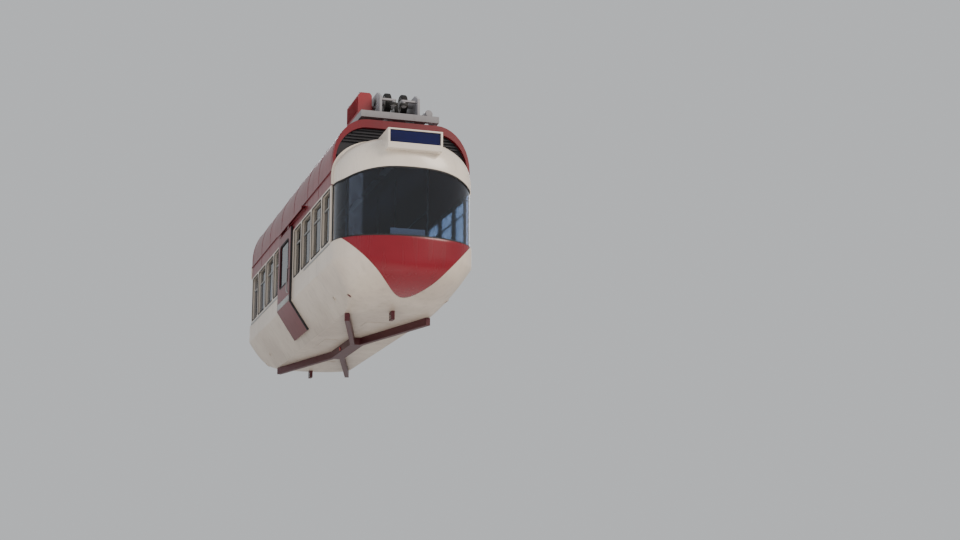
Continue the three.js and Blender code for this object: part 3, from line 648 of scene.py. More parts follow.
for fitting in (0, 1):
    for side in (1, -1):
        centre, direction, radius = on_side(side, fitting)
        cut(nose_sheet, round_plug(radius, -BEZEL_ROOT, BEZEL_PROUD, centre, direction), how="UNION")
        cut(nose_sheet, round_plug(radius - BEZEL_WIDTH, -DISH_DEPTH, BEZEL_PROUD + 0.02, centre, direction))
for piece in (nose_sheet, chin):
    round_edges(piece, 2 * MM, 2, 50)
    smooth(piece)
fit_both(nose_sheet, ivory_paint, "body_ivory", "nose_shell_front")
bright_red = sprayed_paint("bright_red_coach_paint", "740818", "821424", 0.26, "4a1c1c")
fit_both(chin, bright_red, "chin_red", "chin_panel_front")

# Marker lamps and jacking sockets
# A domed lens of dark ruby glass sits in each front fitting. The one behind it is a steel socket for a jack.
ruby, tree, place = new_finish("dark_ruby_lens")
flutes = add_node(tree, "TexWave", {"Vector": place, "Scale": 60.0})
colour = mottled(tree, "3c0a0e", "5c1416", {"Vector": place, "Scale": 40.0})
coated(tree, {"Base Color": colour, "Roughness": 0.12}, flutes, 0.4)
socket_steel = bare_metal("worn_socket_steel", "6e6c6a", 0.45)
lenses = []
sockets = []
for side in (1, -1):
    centre, direction, radius = on_side(side, 0)
    lens_radius = radius - BEZEL_WIDTH - 0.001
    lens = basic_shape(bpy.ops.mesh.primitive_uv_sphere_add, segments=32, ring_count=16, radius=lens_radius)
    lens.data.transform(Matrix.Scale(0.36, 4, (0, 0, 1)))
    lens.data.transform(Matrix.Translation((0, 0, -DISH_DEPTH + 0.004)))
    lens.data.transform(facing(centre, direction))
    lenses.append(lens)
    centre, direction, radius = on_side(side, 1)
    socket = round_plug(radius - BEZEL_WIDTH - 0.001, -DISH_DEPTH - 0.004, -DISH_DEPTH + 0.010, centre, direction)
    cut(socket, round_plug(0.022, -DISH_DEPTH - 0.002, 0.03, centre, direction))
    round_edges(socket, 1.5 * MM, 2, 50)
    sockets.append(socket)
fit_both(smooth(gathered("marker_lenses_front", lenses), 60), ruby, "chin_red")
fit_both(smooth(gathered("jacking_sockets_front", sockets), 40), socket_steel, "bogie_steel")

# Visor and sign
# A moulded ivory hood over the windscreen, with a flat-topped sign box let into its crown.
# The sign is a dark glass, blank, held in the box's mouth by a narrow lip.
GLASS_HALF = 1.225
VISOR_START = -1.380
VISOR_RISE = 0.620
VISOR_FLAT = 0.420
VISOR_SET_BACK = 0.450
VISOR_WALL = 0.045
CORNER_DROP = 0.185
ARCH_LEVEL = 1.145


def arch(x):
    """The height of the visor's lower edge: a flat arch that drops towards the corners."""
    return VISOR_START - CORNER_DROP * min(1.0, abs(x) / ARCH_LEVEL) ** 3


def visor_level(share):
    """A level of the visor: upright below the arch's top, then leaning back. 0 is the corner, 1 the crown."""
    upright = 0.2
    if share < upright:
        return VISOR_START - 0.24 * (1 - share / upright), GLASS_HALF, NOSE_TIP, ROOF_FRONT
    angle = math.pi / 2 * (share - upright) / (1 - upright)
    half = VISOR_FLAT + (GLASS_HALF - VISOR_FLAT) * math.cos(angle)
    front = NOSE_TIP + VISOR_SET_BACK * (1 - math.cos(angle))
    return VISOR_START + VISOR_RISE * math.sin(angle), half, front, ROOF_FRONT


def arch_block(name, offset):
    """A block that fills all above the arch."""
    points = [(x / 20 * 1.31, arch(x / 20 * 1.31) + offset) for x in range(-20, 21)]
    return swept_outline(name, points + [(1.31, 0.0), (-1.31, 0.0)], NOSE_TIP - 0.2, ROOF_FRONT + 0.5)


sign_low, sign_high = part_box("sign_glass_front")
BOX_HALF, BOX_FRONT, BOX_TOP, BOX_UNDER = 0.490, -5.060, -0.730, -1.090
visor = shaped_sheet(
    "visor_front_hood", 112, 50, lambda across, up: round_the_nose(across, visor_level(up), ROOF_FRONT - 0.0003),
)
thicken(visor, VISOR_WALL)
cut(visor, arch_block("above_arch", 0.0), how="INTERSECT")
sign_box = slab((-BOX_HALF, BOX_FRONT, BOX_UNDER), (BOX_HALF, ROOF_FRONT - 0.0003, BOX_TOP), "sign_box")
round_edges(sign_box, 14 * MM, 4, 60)
cut(visor, sign_box, how="UNION")
pocket = slab(
    (sign_low.x - 0.002, BOX_FRONT - 0.01, sign_low.z - 0.002),
    (sign_high.x + 0.002, BOX_FRONT + 0.032, sign_high.z + 0.002), "sign_pocket",
)
cut(visor, pocket)
round_edges(visor, 3 * MM, 2, 55)
smooth(visor, 35)
visor_paint = sprayed_paint("white_gelcoat", "ddd2c4", "cfc2b3", 0.26, "75685c")
fit_both(visor, visor_paint, "visor_ivory", "visor_front")


def tinted_glass(name, code, shade_code):
    """Laminated glass, tinted through its middle layer: dark from outside, and bright where it turns away."""
    finish, tree, place = new_finish(name)
    rain = add_node(tree, "TexNoise", {"Vector": place, "Scale": 3.0, "Detail": 4.0})
    film = add_node(tree, "MapRange", {"Value": rain, "To Min": 0.02, "To Max": 0.07})
    pane = add_node(tree, "BsdfPrincipled", {
        "Base Color": paint_colour(code), "Roughness": film,
        "IOR": 1.5, "Transmission Weight": 1.0,
    })
    let_through = add_node(tree, "BsdfTransparent", {"Color": paint_colour(shade_code)})
    ray = add_node(tree, "LightPath")
    mixed = add_node(tree, "MixShader", {0: ray, 1: pane, 2: let_through})
    add_node(tree, "OutputMaterial", {"Surface": mixed})
    return finish


sign_glass_finish = tinted_glass("dark_blue_sign_glass", "2a3480", "3a4490")
for end in ("front", "rear"):
    pane = remade("sign_glass_" + end, f"sign_{end}_pane", 2 * MM)
    fit(pane, sign_glass_finish, "sign_glass", "sign_glass_" + end)
# The blank blind behind the sign's glass, a roll of dark blue cloth.
blind_cloth = sprayed_paint("dark_blue_blind", "232c7c", "2c3690", 0.7, "141a4a")
blind_y = sign_high.y
blind = slab(
    (sign_low.x, blind_y - 0.004, sign_low.z), (sign_high.x, blind_y + 0.0015, sign_high.z), "sign_front_blind",
)
work(blind, "BEVEL", width=1 * MM, segments=1)
fit_both(blind, blind_cloth, "sign_glass")

# Windscreen
# One wrap-round pane in a black rubber surround, from the sill up to the visor's arch.
SCREEN_END = -4.050
SCREEN_INSET = 0.012
SCREEN_THICK = 0.014


def pane_level(share):
    """A level of the windscreen, from the sill (0) to a little over the arch's top (1)."""
    z = SILL + 0.0003 + (VISOR_START + 0.05 - SILL) * share
    return z, GLASS_HALF, NOSE_TIP, ROOF_FRONT


screen = shaped_sheet(
    "windscreen_front_pane", 112, 24,
    lambda across, up: round_the_nose(across, pane_level(up), SCREEN_END - 0.0005, SCREEN_INSET),
)
thicken(screen, SCREEN_THICK)
cut(screen, arch_block("over_pane", -0.003))
smooth(screen)
screen_glass = tinted_glass("navy_laminated_glass", "8893a8", "ccd0d8")
fit_both(screen, screen_glass, "screen_glass", "windscreen_front")


def moulding(name, code, aged_code, bloom=14.0, blur=5.0, grain=220.0, depth=0.15, roughness=0.72):
    """Extruded or moulded rubber or plastic: dull, with a bloom of age and a fine grain, each of a given scale."""
    finish, tree, place = new_finish(name)
    colour = mottled(tree, code, aged_code, {"Vector": place, "Scale": bloom, "Detail": blur})
    fine = add_node(tree, "TexNoise", {"Vector": place, "Scale": grain, "Detail": 2.0})
    coated(tree, {"Base Color": colour, "Roughness": roughness}, fine, depth)
    return finish


rubber = moulding("extruded_black_rubber", "161517", "323032")
GASKET = 0.026


def gasket_band(name, height):
    """A strip of the screen's surround that follows a height along the glass."""
    def place(across, up):
        point = round_the_nose(across, pane_level(0), SCREEN_END, 0.0035)
        point.z = height(point.x) + GASKET * up
        return point
    band = shaped_sheet(name, 112, 2, place)
    work(band, "SOLIDIFY", thickness=0.009, offset=-1)
    return band


bands = [
    gasket_band("sill_gasket", lambda x: SILL + 0.0005),
    gasket_band("arch_gasket", lambda x: arch(x) - 0.0035 - GASKET),
]
for side in (1, -1):
    bands.append(slab(
        (side * (GLASS_HALF - 0.013), SCREEN_END - 0.03, SILL + 0.0005),
        (side * (GLASS_HALF - 0.0035), SCREEN_END - 0.0005, arch(GLASS_HALF) - 0.0035),
    ))
fit_both(ease_edges(gathered("windscreen_front_gasket", bands), 2 * MM), rubber, "guide_tyre")

# Side walls
# The window band between sill and roof, of the same painted sheet as the body.
# Each window is a fixed pane in a black rubber section, with a bright bar below its top light.
WINDOW_TOP = -1.560
WINDOW_LOW = SILL + 0.070
WINDOW_HIGH = WINDOW_TOP - 0.045
WINDOW_RADIUS = 0.060
# Columns: where each window starts and ends along the front half of a side.
WINDOW_BAYS = [(-3.97, -3.33), (-3.23, -2.41), (-2.31, -1.49), (-1.39, -0.76)]
BAR_DROP = 0.262
CORNER_STEPS = 6
SECTION_STEPS = 8


def rubber_rim(name, y_span, z_span, radius, face, side, width=0.030, height=0.012):
    """A rubber section bent round a rounded window on a flat side wall. The face is the wall's distance out."""
    y_middle, z_middle = sum(y_span) / 2, sum(z_span) / 2
    y_half = (y_span[1] - y_span[0]) / 2 - radius
    z_half = (z_span[1] - z_span[0]) / 2 - radius
    corners = [(1, 1), (-1, 1), (-1, -1), (1, -1)]
    count = 4 * CORNER_STEPS

    def place(across, up):
        step = round(across * count) % count
        corner, part = divmod(step, CORNER_STEPS)
        turn = math.pi / 2 * (corner + part / (CORNER_STEPS - 1))
        around = 2 * math.pi * (round(up * SECTION_STEPS) % SECTION_STEPS) / SECTION_STEPS
        spread = math.copysign(abs(math.cos(around)) ** 0.5, math.cos(around)) * width / 2
        lift = math.copysign(abs(math.sin(around)) ** 0.6, math.sin(around)) * height / 2
        reach = radius + spread
        y = y_middle + corners[corner][0] * y_half + math.cos(turn) * reach
        z = z_middle + corners[corner][1] * z_half + math.sin(turn) * reach
        return Vector((side * (face + lift), y, z))

    return close_up(shaped_sheet(name, count, SECTION_STEPS, place))


def close_up(piece):
    """Merges the points that lie together and turns all faces outwards."""
    open_up(piece)
    bpy.ops.mesh.remove_doubles(threshold=0.00005)
    bpy.ops.mesh.normals_make_consistent(inside=False)
    bpy.ops.object.mode_set(mode="OBJECT")
    return piece


for side in ("left", "right"):
    fit(remade("wall_" + side, f"wall_{side}_skin", 4 * MM), ivory_paint, "body_ivory", "wall_" + side)

rims = []
bars = []
for side in (1, -1):
    for low, high in WINDOW_BAYS:
        for y_span in ((low, high), (-high, -low)):
            rims.append(rubber_rim(
                "rim", y_span, (WINDOW_LOW, WINDOW_HIGH), WINDOW_RADIUS, HALF_WIDTH - 0.001, side, height=0.008,
            ))
            bars.append(slab(
                (side * (HALF_WIDTH - WALL + 0.001), y_span[0] + 0.001, WINDOW_HIGH - BAR_DROP - 0.028),
                (side * (HALF_WIDTH - WALL + 0.013), y_span[1] - 0.001, WINDOW_HIGH - BAR_DROP),
            ))
fit(smooth(gathered("side_window_rims", rims), 60), rubber, "guide_tyre")
fit(ease_edges(gathered("side_window_bars", bars), 2 * MM), aluminium, "bogie_steel")

# A lighter tint than the windscreen's, so that the seats show through from close by.
side_glass = tinted_glass("grey_tinted_glass", "5c6c7a", "8c9aa6")
for side in ("left", "right"):
    for end in ("front", "rear"):
        node = f"side_glass_{side}_{end}"
        pane = remade(node, f"side_pane_{side}_{end}", 1 * MM, segments=1)
        fit(pane, side_glass, "side_glass", node)

# Wall rivets
# One row of small heads over and under the windows, where the sheet is fixed to its rails.
places = []
for side in (1, -1):
    for y in row(-4.00, 4.01, 0.10):
        if abs(y) > DOOR_HALF + 0.12:
            places.append(((side * HALF_WIDTH, y, SILL + 0.038), (side, 0, 0)))
            places.append(((side * HALF_WIDTH, y, WINDOW_TOP - 0.016), (side, 0, 0)))
fit(copies("wall_rivets", small_head, places), ivory_paint, "body_ivory")

# Doors
# One leaf a side, a bent panel of painted sheet that hangs outside the body and slides along it.
# It has a rubber strip down each edge, a tubular pull, a worn kick plate and a fixed pane.
LEAF_HALF = 0.620
LEAF_INNER = HALF_WIDTH + 0.008
LEAF_OUTER = LEAF_INNER + 0.040
LEAF_TOP = -1.480
LEAF_FOOT = [(0.895, -3.500), (0.930, -3.523)]
PANE_HALF = 0.430
PANE_LOW, PANE_HIGH = -2.540, -1.680
PANE_RADIUS = 0.070
EDGE_STRIP = 0.008
PULL_Y, PULL_TOP, PULL_LOW = 0.525, -2.300, -2.780
KICK_HALF, KICK_LOW, KICK_HIGH = 0.590, -2.950, -2.830
HANGER_FACE, HANGER_Z = 1.310, -1.468

# The leaf's paint darkens in blotches towards its foot, which turns under: painted shade.
door_paint = sprayed_paint(
    "dark_red_coach_paint", "5c0a14", "6e1622", 0.36,
    streak_and_shade_code="46302a", shade_from=-2.9, shade_to=-3.7, shade_depth=0.7,
)


def tube(name, points, radius, sides=16):
    """A round tube along a path, with closed ends."""
    nothing_selected()
    path = bpy.data.curves.new(name, "CURVE")
    path.dimensions = "3D"
    run = path.splines.new("POLY")
    run.points.add(len(points) - 1)
    for point, at in zip(run.points, points):
        point.co = (*at, 1.0)
    path.bevel_depth = radius
    path.bevel_resolution = max(1, sides // 4 - 1)
    path.use_fill_caps = True
    piece = put_down(name, path)
    take_up(piece)
    bpy.ops.object.convert(target="MESH")
    return smooth(close_up(piece), 50)


def bent(points, radius=0.03, steps=5):
    """A path with its corners rounded."""
    corners = [Vector(point) for point in points]
    path = [corners[0]]
    for before, here, after in zip(corners, corners[1:], corners[2:]):
        start = here + (before - here).normalized() * radius
        end = here + (after - here).normalized() * radius
        for step in range(steps + 1):
            t = step / steps
            path.append(start * (1 - t) ** 2 + here * (2 * t * (1 - t)) + end * t ** 2)
    return path + [corners[-1]]


def hexagon_head(radius):
    """The pattern of a bolt's hexagon head on its washer."""
    cylinder = bpy.ops.mesh.primitive_cylinder_add
    head = basic_shape(cylinder, vertices=6, radius=radius, depth=radius * 0.8, location=(0, 0, radius * 0.5))
    round_edges(head, radius * 0.12, 1, 50)
    washer = basic_shape(cylinder, vertices=16, radius=radius * 1.35, depth=radius * 0.2)
    return pattern_of(gathered("bolt", [head, washer]))


bolt_head = hexagon_head(0.010)
fitted_steel = bare_metal("galvanised_steel", "8f9290", 0.5, grain=(1.0, 1.0, 0.4))
polished_steel = bare_metal("brushed_stainless_steel", "c4c4c2", 0.28, grain=(1.0, 1.0, 0.05))
leaf_profile = [
    (LEAF_INNER + 0.002, LEAF_TOP - 0.002), (LEAF_INNER + 0.002, WAIST + 0.002), LEAF_FOOT[0],
    LEAF_FOOT[1], (LEAF_OUTER - 0.002, WAIST - 0.012), (LEAF_OUTER - 0.002, LEAF_TOP - 0.002),
]
for side, sx in (("left", 1), ("right", -1)):
    body = "door_" + side
    leaf = remade("door_leaf_" + side, f"door_{side}_skin", 5 * MM)
    fit(leaf, door_paint, "door_red", "door_leaf_" + side, body=body)
    pane = remade("door_glass_" + side, f"door_{side}_pane", 1 * MM, segments=1)
    fit(pane, side_glass, "side_glass", "door_glass_" + side, body=body)

    rubbers = [
        rubber_rim("rim", (-PANE_HALF, PANE_HALF), (PANE_LOW, PANE_HIGH), PANE_RADIUS, LEAF_OUTER + 0.001, sx),
    ]
    outline = [(sx * x, z) for x, z in leaf_profile]
    for y0, y1 in ((-LEAF_HALF - EDGE_STRIP, -LEAF_HALF + 0.001), (LEAF_HALF - 0.001, LEAF_HALF + EDGE_STRIP)):
        rubbers.append(round_edges(swept_outline("strip", outline, y0, y1), 3 * MM, 2, 60))
    fit(smooth(gathered(f"door_{side}_rubber", rubbers), 50), rubber, "guide_tyre", body=body)

    root, reach, y = sx * (LEAF_OUTER - 0.004), sx * (LEAF_OUTER + 0.038), sx * PULL_Y
    grip = bent([(root, y, PULL_TOP), (reach, y, PULL_TOP), (reach, y, PULL_LOW), (root, y, PULL_LOW)])
    pull = tube(f"door_{side}_pull", grip, 0.011)
    plate_back, plate_face = sx * (LEAF_OUTER - 0.001), sx * (LEAF_OUTER + 0.002)
    plate = slab((plate_back, -KICK_HALF, KICK_LOW), (plate_face, KICK_HALF, KICK_HIGH), "plate")
    work(plate, "BEVEL", width=1 * MM, segments=1)
    fit(smooth(gathered(f"door_{side}_pull", [pull, plate]), 50), polished_steel, "bogie_steel", body=body)

    places = []
    for y in (-0.40, 0.40):
        for offset in (-0.055, 0.055):
            places.append(((sx * HANGER_FACE, y + offset, HANGER_Z), (sx, 0, 0)))
    for y in (0.015 - KICK_HALF, KICK_HALF - 0.015):
        for z in (KICK_LOW + 0.015, KICK_HIGH - 0.015):
            places.append(((plate_face, y, z), (sx, 0, 0)))
    fit(copies(f"door_{side}_bolts", bolt_head, places), fitted_steel, "bogie_steel", body=body)

# Floor
# Ribbed grey lino on the deck, with a bright tread strip in each doorway.
FLOOR = -3.460
TREAD_FROM, TREAD_PITCH, TREAD_WIDE, TREAD_HALF = 0.735, 0.0105, 0.006, 0.520


def ribbed_lino(name):
    """Hard-wearing sheet flooring: fine ribs along the car, scuffed lighter where it is walked on."""
    finish, tree, place = new_finish(name)
    colour = mottled(tree, "4a4744", "7d7870", {"Vector": place, "Scale": 2.2, "Detail": 6.0, "Roughness": 0.65})
    ribs = add_node(tree, "TexWave", {"Vector": place, "Scale": 26.0}, bands_direction="X")
    coated(tree, {"Base Color": colour, "Roughness": 0.65}, ribs, 0.5)
    return finish


deck = remade("floor_deck", "floor_lino", 2 * MM, segments=1)
fit(deck, ribbed_lino("ribbed_grey_lino"), "floor_lino", "floor_deck")
treads = []
for side in (1, -1):
    for step in range(9):
        inner = TREAD_FROM + step * TREAD_PITCH
        treads.append(slab(
            (side * inner, -TREAD_HALF, FLOOR - 0.001), (side * (inner + TREAD_WIDE), TREAD_HALF, FLOOR + 0.004),
        ))
fit(ease_edges(gathered("door_treads", treads), 1 * MM, segments=1), aluminium, "bogie_steel")

# Benches
# Moulded grey seats along both walls, each place with a cushion and a back pad of ribbed blue cloth.
# A stainless pole stands at each end of a bench, with a rail between them.
# Columns: depth from the aisle and height, round the shell's thin section.
SHELL_SECTION = [
    (0.735, -3.120), (1.070, -3.120), (1.165, -2.975), (1.178, -2.640),
    (1.163, -2.640), (1.150, -2.972), (1.062, -3.096), (0.747, -3.090), (0.747, -3.070), (0.735, -3.066),
]
BENCH_FROM, BENCH_TO = -3.150, -0.700
PLACES = 4
PITCH = (BENCH_TO - BENCH_FROM - 0.08) / PLACES
POLE_X, POLE_RADIUS = 0.762, 0.016
POLE_YS = (-3.110, -0.740)
RAIL_Z = -1.640
CEILING_Z = -0.4085
SEAT_MIDDLE, SEAT_DEPTH, SEAT_THICK = Vector((0.900, 0.0, -3.058)), 0.290, 0.052
PAD_MIDDLE, PAD_HIGH, PAD_THICK = Vector((1.128, 0.0, -2.820)), 0.330, 0.034
PAD_TURN = math.radians(92)
CUSHION_SWELL = 0.010
SIM_FRAMES = 20

moulded_grey = moulding("moulded_grey_seat_shell", "7c8186", "92969a")


def ribbed_cloth(name, code, worn_code):
    """Close-woven seat moquette: soft, with a fine rib and paler wear, and a nap that catches the light."""
    finish, tree, place = new_finish(name)
    colour = mottled(tree, code, worn_code, {"Vector": place, "Scale": 4.0, "Detail": 5.0})
    rib = add_node(tree, "TexWave", {"Vector": place, "Scale": 40.0, "Distortion": 0.4}, bands_direction="Y")
    weave = add_node(tree, "TexNoise", {"Vector": place, "Scale": 700.0, "Detail": 2.0})
    both = add_node(tree, "Math", {0: rib, 1: weave}, operation="ADD")
    coated(tree, {"Base Color": colour, "Roughness": 0.9, "Sheen Weight": 0.4, "Sheen Roughness": 0.4}, both, 0.35)
    return finish


def blown_cushion(name, size):
    """A cushion lying flat round the origin: a rounded block, blown up as cloth, then sewn down along two seams."""
    block = slab([-part / 2 for part in size], [part / 2 for part in size], name)
    work(block, "BEVEL", width=min(size) * 0.35, segments=3)
    work(block, "REMESH", mode="VOXEL", voxel_size=0.009)
    flat = [point.co.copy() for point in block.data.vertices]
    take_up(block)
    cloth = block.modifiers.new("cloth", "CLOTH")
    cloth.settings.use_pressure = True
    cloth.settings.uniform_pressure_force = 4.0
    cloth.settings.effector_weights.gravity = 0.0
    cloth.point_cache.frame_end = SIM_FRAMES
    for step in range(1, SIM_FRAMES + 1):
        bpy.context.scene.frame_set(step)
    bpy.ops.object.modifier_apply(modifier=cloth.name)
    bpy.context.scene.frame_set(1)
    for point, start in zip(block.data.vertices, flat):
        moved = point.co - start
        if moved.length > CUSHION_SWELL:
            point.co = start + moved.normalized() * CUSHION_SWELL
    for point in block.data.vertices:
        for seam in (-size[1] / 6, size[1] / 6):
            near = math.exp(-((point.co.y - seam) / 0.007) ** 2)
            point.co.z -= math.copysign(0.005, point.co.z) * near
    take_up(block)
    bpy.ops.object.shade_smooth()
    return block


def set_down(pattern, name, turn, middle):
    """Copies of a pattern, one at each place of a bench, turned about Y and joined into one piece."""
    parts = []
    for place in range(PLACES):
        y = BENCH_FROM + 0.04 + PITCH * (place + 0.5)
        part = duplicate(pattern, name)
        part.data.transform(Matrix.Translation(middle + Vector((0, y, 0))) @ Matrix.Rotation(turn, 4, "Y"))
        parts.append(part)
    return gathered(name, parts)


seat_pattern = blown_cushion("seat_pattern", (SEAT_DEPTH, PITCH - 0.03, SEAT_THICK - 0.012))
pad_pattern = blown_cushion("pad_pattern", (PAD_HIGH, PITCH - 0.03, PAD_THICK - 0.012))
cushion_parts = [
    set_down(seat_pattern, "cushions_left_front", 0.0, SEAT_MIDDLE),
    set_down(pad_pattern, "back_pads_left_front", PAD_TURN, PAD_MIDDLE),
]
front_left_cushions = gathered("cushions_left_front", cushion_parts)
for pattern in (seat_pattern, pad_pattern):
    bpy.data.objects.remove(pattern)

shell = ease_edges(swept_outline("bench_shell", SHELL_SECTION, BENCH_FROM, BENCH_TO), 4 * MM)
plinth = slab((0.760, BENCH_FROM + 0.08, FLOOR + 0.0003), (0.820, BENCH_TO - 0.08, -3.115), "plinth")
ease_edges(plinth, 3 * MM)
front_left_shell = gathered("bench_left_front_shell", [shell, plinth])
# Columns: each upright round of a pole, as its foot, its head and its radius.
POLE_ROUNDS = [
    (-3.095, CEILING_Z, POLE_RADIUS), (-3.098, -3.082, 0.034), (CEILING_Z - 0.016, CEILING_Z - 0.0005, 0.026),
]
pole_parts = [tube("rail", [(POLE_X, y, RAIL_Z) for y in POLE_YS], POLE_RADIUS - 0.002)]
for y in POLE_YS:
    pole_parts.append(tube("socket", [(POLE_X, y - 0.034, RAIL_Z), (POLE_X, y + 0.034, RAIL_Z)], 0.024))
    for foot, head, radius in POLE_ROUNDS:
        pole_parts.append(tube("pole", [(POLE_X, y, foot), (POLE_X, y, head)], radius))
front_left_poles = gathered("poles_left_front", pole_parts)
seat_cloth = ribbed_cloth("blue_seat_moquette", "26314d", "36446a")


def mirrored_end(piece, name):
    """The same piece for the other end of its side: mirrored along the car, with its faces turned back out."""
    twin = duplicate(piece, name)
    twin.data.transform(Matrix.Scale(-1, 4, (0, 1, 0)))
    open_up(twin)
    bpy.ops.mesh.flip_normals()
    bpy.ops.object.mode_set(mode="OBJECT")
    return twin


sets = {("left", "front"): (front_left_shell, front_left_cushions, front_left_poles)}
sets["left", "rear"] = [mirrored_end(piece, rear(piece.name)) for piece in sets["left", "front"]]
for end, other in (("front", "rear"), ("rear", "front")):
    sets["right", end] = [
        half_turned(piece, piece.name.replace("left_" + other, "right_" + end)) for piece in sets["left", other]
    ]
for (side, end), (shell, cushions, poles) in sets.items():
    fit(shell, moulded_grey, "seat_cloth", f"bench_{side}_{end}")
    fit(cushions, seat_cloth, "seat_cloth")
    fit(poles, polished_steel, "bogie_steel")

# Ceiling lamps
# Two rows of flat opal lamps along the roof's inside.
opal, tree, place = new_finish("opal_lamp_cover")
shade = mottled(tree, "dcd8cc", "efece2", {"Vector": place, "Scale": 30.0})
coated(tree, {"Base Color": shade, "Roughness": 0.35})
CEILING_LAMP_YS = [-3.0, -1.5, 0.0, 1.5, 3.0]
COVER_HALF, COVER_LOW, COVER_HIGH = 0.550, -0.412, -0.3815
covers = []
for side in (1, -1):
    for y in CEILING_LAMP_YS:
        covers.append(slab((side * 0.36, y - COVER_HALF, COVER_LOW), (side * 0.50, y + COVER_HALF, COVER_HIGH)))
fit(ease_edges(gathered("ceiling_lamps", covers), 8 * MM, segments=3), opal, "visor_ivory")

# Cab desks
# A desk of grey-blue moulded plastic across each nose, with a blank upright panel against the screen.
# It is worked standing, by two levers and a row of plain buttons, and has three dials without figures.
DESK_TOP = -2.660
UPRIGHT_BACK = -4.565
DIAL_Z = -2.520
LEVER_Y, LEVER_TOP = -4.250, DESK_TOP + 0.130
BUTTON_Y = -4.170

desk_plastic = moulding("grey_desk_moulding", "a3abb4", "b5bcc4")
dial_white = sprayed_paint("plain_dial_face", "d8d8d2", "cfcfc8", 0.5)

desk = remade("cab_desk_front", "cab_desk_front_moulding", 9 * MM, segments=3)
fit_both(desk, desk_plastic, "desk_grey_blue", "cab_desk_front")

controls = []
faces = []
for x in (-0.18, 0.0, 0.18):
    for low, high, radius, sort in ((-0.001, 0.016, 0.060, controls), (0.010, 0.0175, 0.051, faces)):
        ends = [(x, UPRIGHT_BACK + low, DIAL_Z), (x, UPRIGHT_BACK + high, DIAL_Z)]
        sort.append(tube("dial", ends, radius, sides=32))
for x in (-0.42, 0.42):
    controls.append(slab((x - 0.05, -4.36, DESK_TOP - 0.001), (x + 0.05, -4.20, DESK_TOP + 0.018), "gate"))
    controls.append(tube("lever", [(x, -4.28, DESK_TOP), (x, LEVER_Y, LEVER_TOP)], 0.009))
    controls.append(tube("knob", [(x - 0.035, LEVER_Y, LEVER_TOP), (x + 0.035, LEVER_Y, LEVER_TOP)], 0.016))
for step in range(6):
    x = -0.20 + step * 0.08
    controls.append(tube("button", [(x, BUTTON_Y, DESK_TOP - 0.001), (x, BUTTON_Y, DESK_TOP + 0.012)], 0.013))
fit_both(ease_edges(gathered("desk_controls_front", controls), 2 * MM), rubber, "intake_dark")
fit_both(gathered("desk_dials_front", faces), dial_white, "visor_ivory")

# Intakes
# A dark plate with slats, set back under each lip of the roof, which lets cooling air in over the ceiling.
# Its near-black paint is partly the plate's own colour and partly painted shade under the roof's lip.
intake_paint_and_shade = sprayed_paint("matt_black_intake_paint", "17151a", "262329", 0.6, "3c3430")
intake = remade("intake_front", "intake_front_plate", 1.5 * MM, segments=1)
fit_both(intake, intake_paint_and_shade, "intake_dark", "intake_front")

# Keel
# Box-section arms under the belly, from a middle beam out to the lower corners of each nose. They are in the car's
# red, painted darker maroon as shade under the car.
# They are bolted up from below, and they take the jacks when the car is lifted for repair.
KEEL_LOW = -3.800
ARM_ROOT, ARM_TIP = Vector((0.060, -0.760)), Vector((0.745, -3.270))

# Painted shade: the red is darkened to maroon, and darker still in blotches towards the keel's bottom.
shaded_red_chassis_paint = sprayed_paint("maroon_chassis_paint", "44101a", "541a22", 0.55, "3a2c28", -3.66, -3.80, 0.5)
fit(remade("under_keel", "keel_frame", 7 * MM, segments=3), shaded_red_chassis_paint, "keel_maroon", "under_keel")

places = []
for side in (1, -1):
    for end in (1, -1):
        for share in (0.12, 0.37, 0.62, 0.87):
            middle = ARM_ROOT.lerp(ARM_TIP, share)
            places.append(((side * middle.x, end * middle.y, KEEL_LOW), DOWN))
for y in (-0.8, -0.4, 0.4, 0.8):
    for x in (-0.09, 0.09):
        places.append(((x, y, KEEL_LOW), DOWN))
fit(copies("keel_bolts", small_head, places), fitted_steel, "bogie_steel")

# A round red reflector in a black ring sits on each side of the middle beam.
BEAM_SIDE, REFLECTOR_Z = 0.130, -3.745
rings = []
discs = []
for side in (1, -1):
    for reach, radius, sort in ((0.012, 0.044, rings), (0.015, 0.036, discs)):
        ends = [(side * (BEAM_SIDE - 0.004), 0.0, REFLECTOR_Z), (side * (BEAM_SIDE + reach), 0.0, REFLECTOR_Z)]
        sort.append(tube("round", ends, radius, sides=40))
reflector_red = sprayed_paint("red_reflector_plastic", "c01420", "d02a32", 0.2)
fit(ease_edges(gathered("reflector_rings", rings), 2 * MM), rubber, "intake_dark")
fit(ease_edges(gathered("keel_reflectors", discs), 2 * MM), reflector_red, "chin_red")

# Tow lugs
# A thick plate with an eye hangs from the belly under each nose, worn bright round the eye.
LUG_Y, LUG_Z = -3.530, -3.740
EYE = 0.028
BUSH_ROOT, BUSH_FACE = 0.0295, 0.033
lug = remade("tow_lug_front", "tow_lug_front_plate", 4 * MM, segments=3)
# The lug is painted the same red darkened to maroon: painted shade.
fit_both(lug, shaded_red_chassis_paint, "keel_maroon", "tow_lug_front")


def around(axis, radius, turn, along=0.0):
    """A point at a turn round an axis, which is 0, 1 or 2 for X, Y or Z."""
    point = [radius * math.cos(turn), radius * math.sin(turn)]
    point.insert(axis, along)
    return Vector(point)


def lathe(name, section, segments, axis=0, at=(0.0, 0.0, 0.0)):
    """A section, given as radius and offset along the axis, closed from last to first and turned round it."""
    count = len(section)

    def place(across, up):
        turn = 2 * math.pi * (round(across * segments) % segments) / segments
        radius, along = section[round(up * count) % count]
        return around(axis, radius, turn, along) + Vector(at)

    return close_up(shaped_sheet(name, segments, count, place))


def ring_section(inner, outer, low, high):
    """The square section of a flat ring, as radius and offset along the axis."""
    return [(inner, low), (outer, low), (outer, high), (inner, high)]


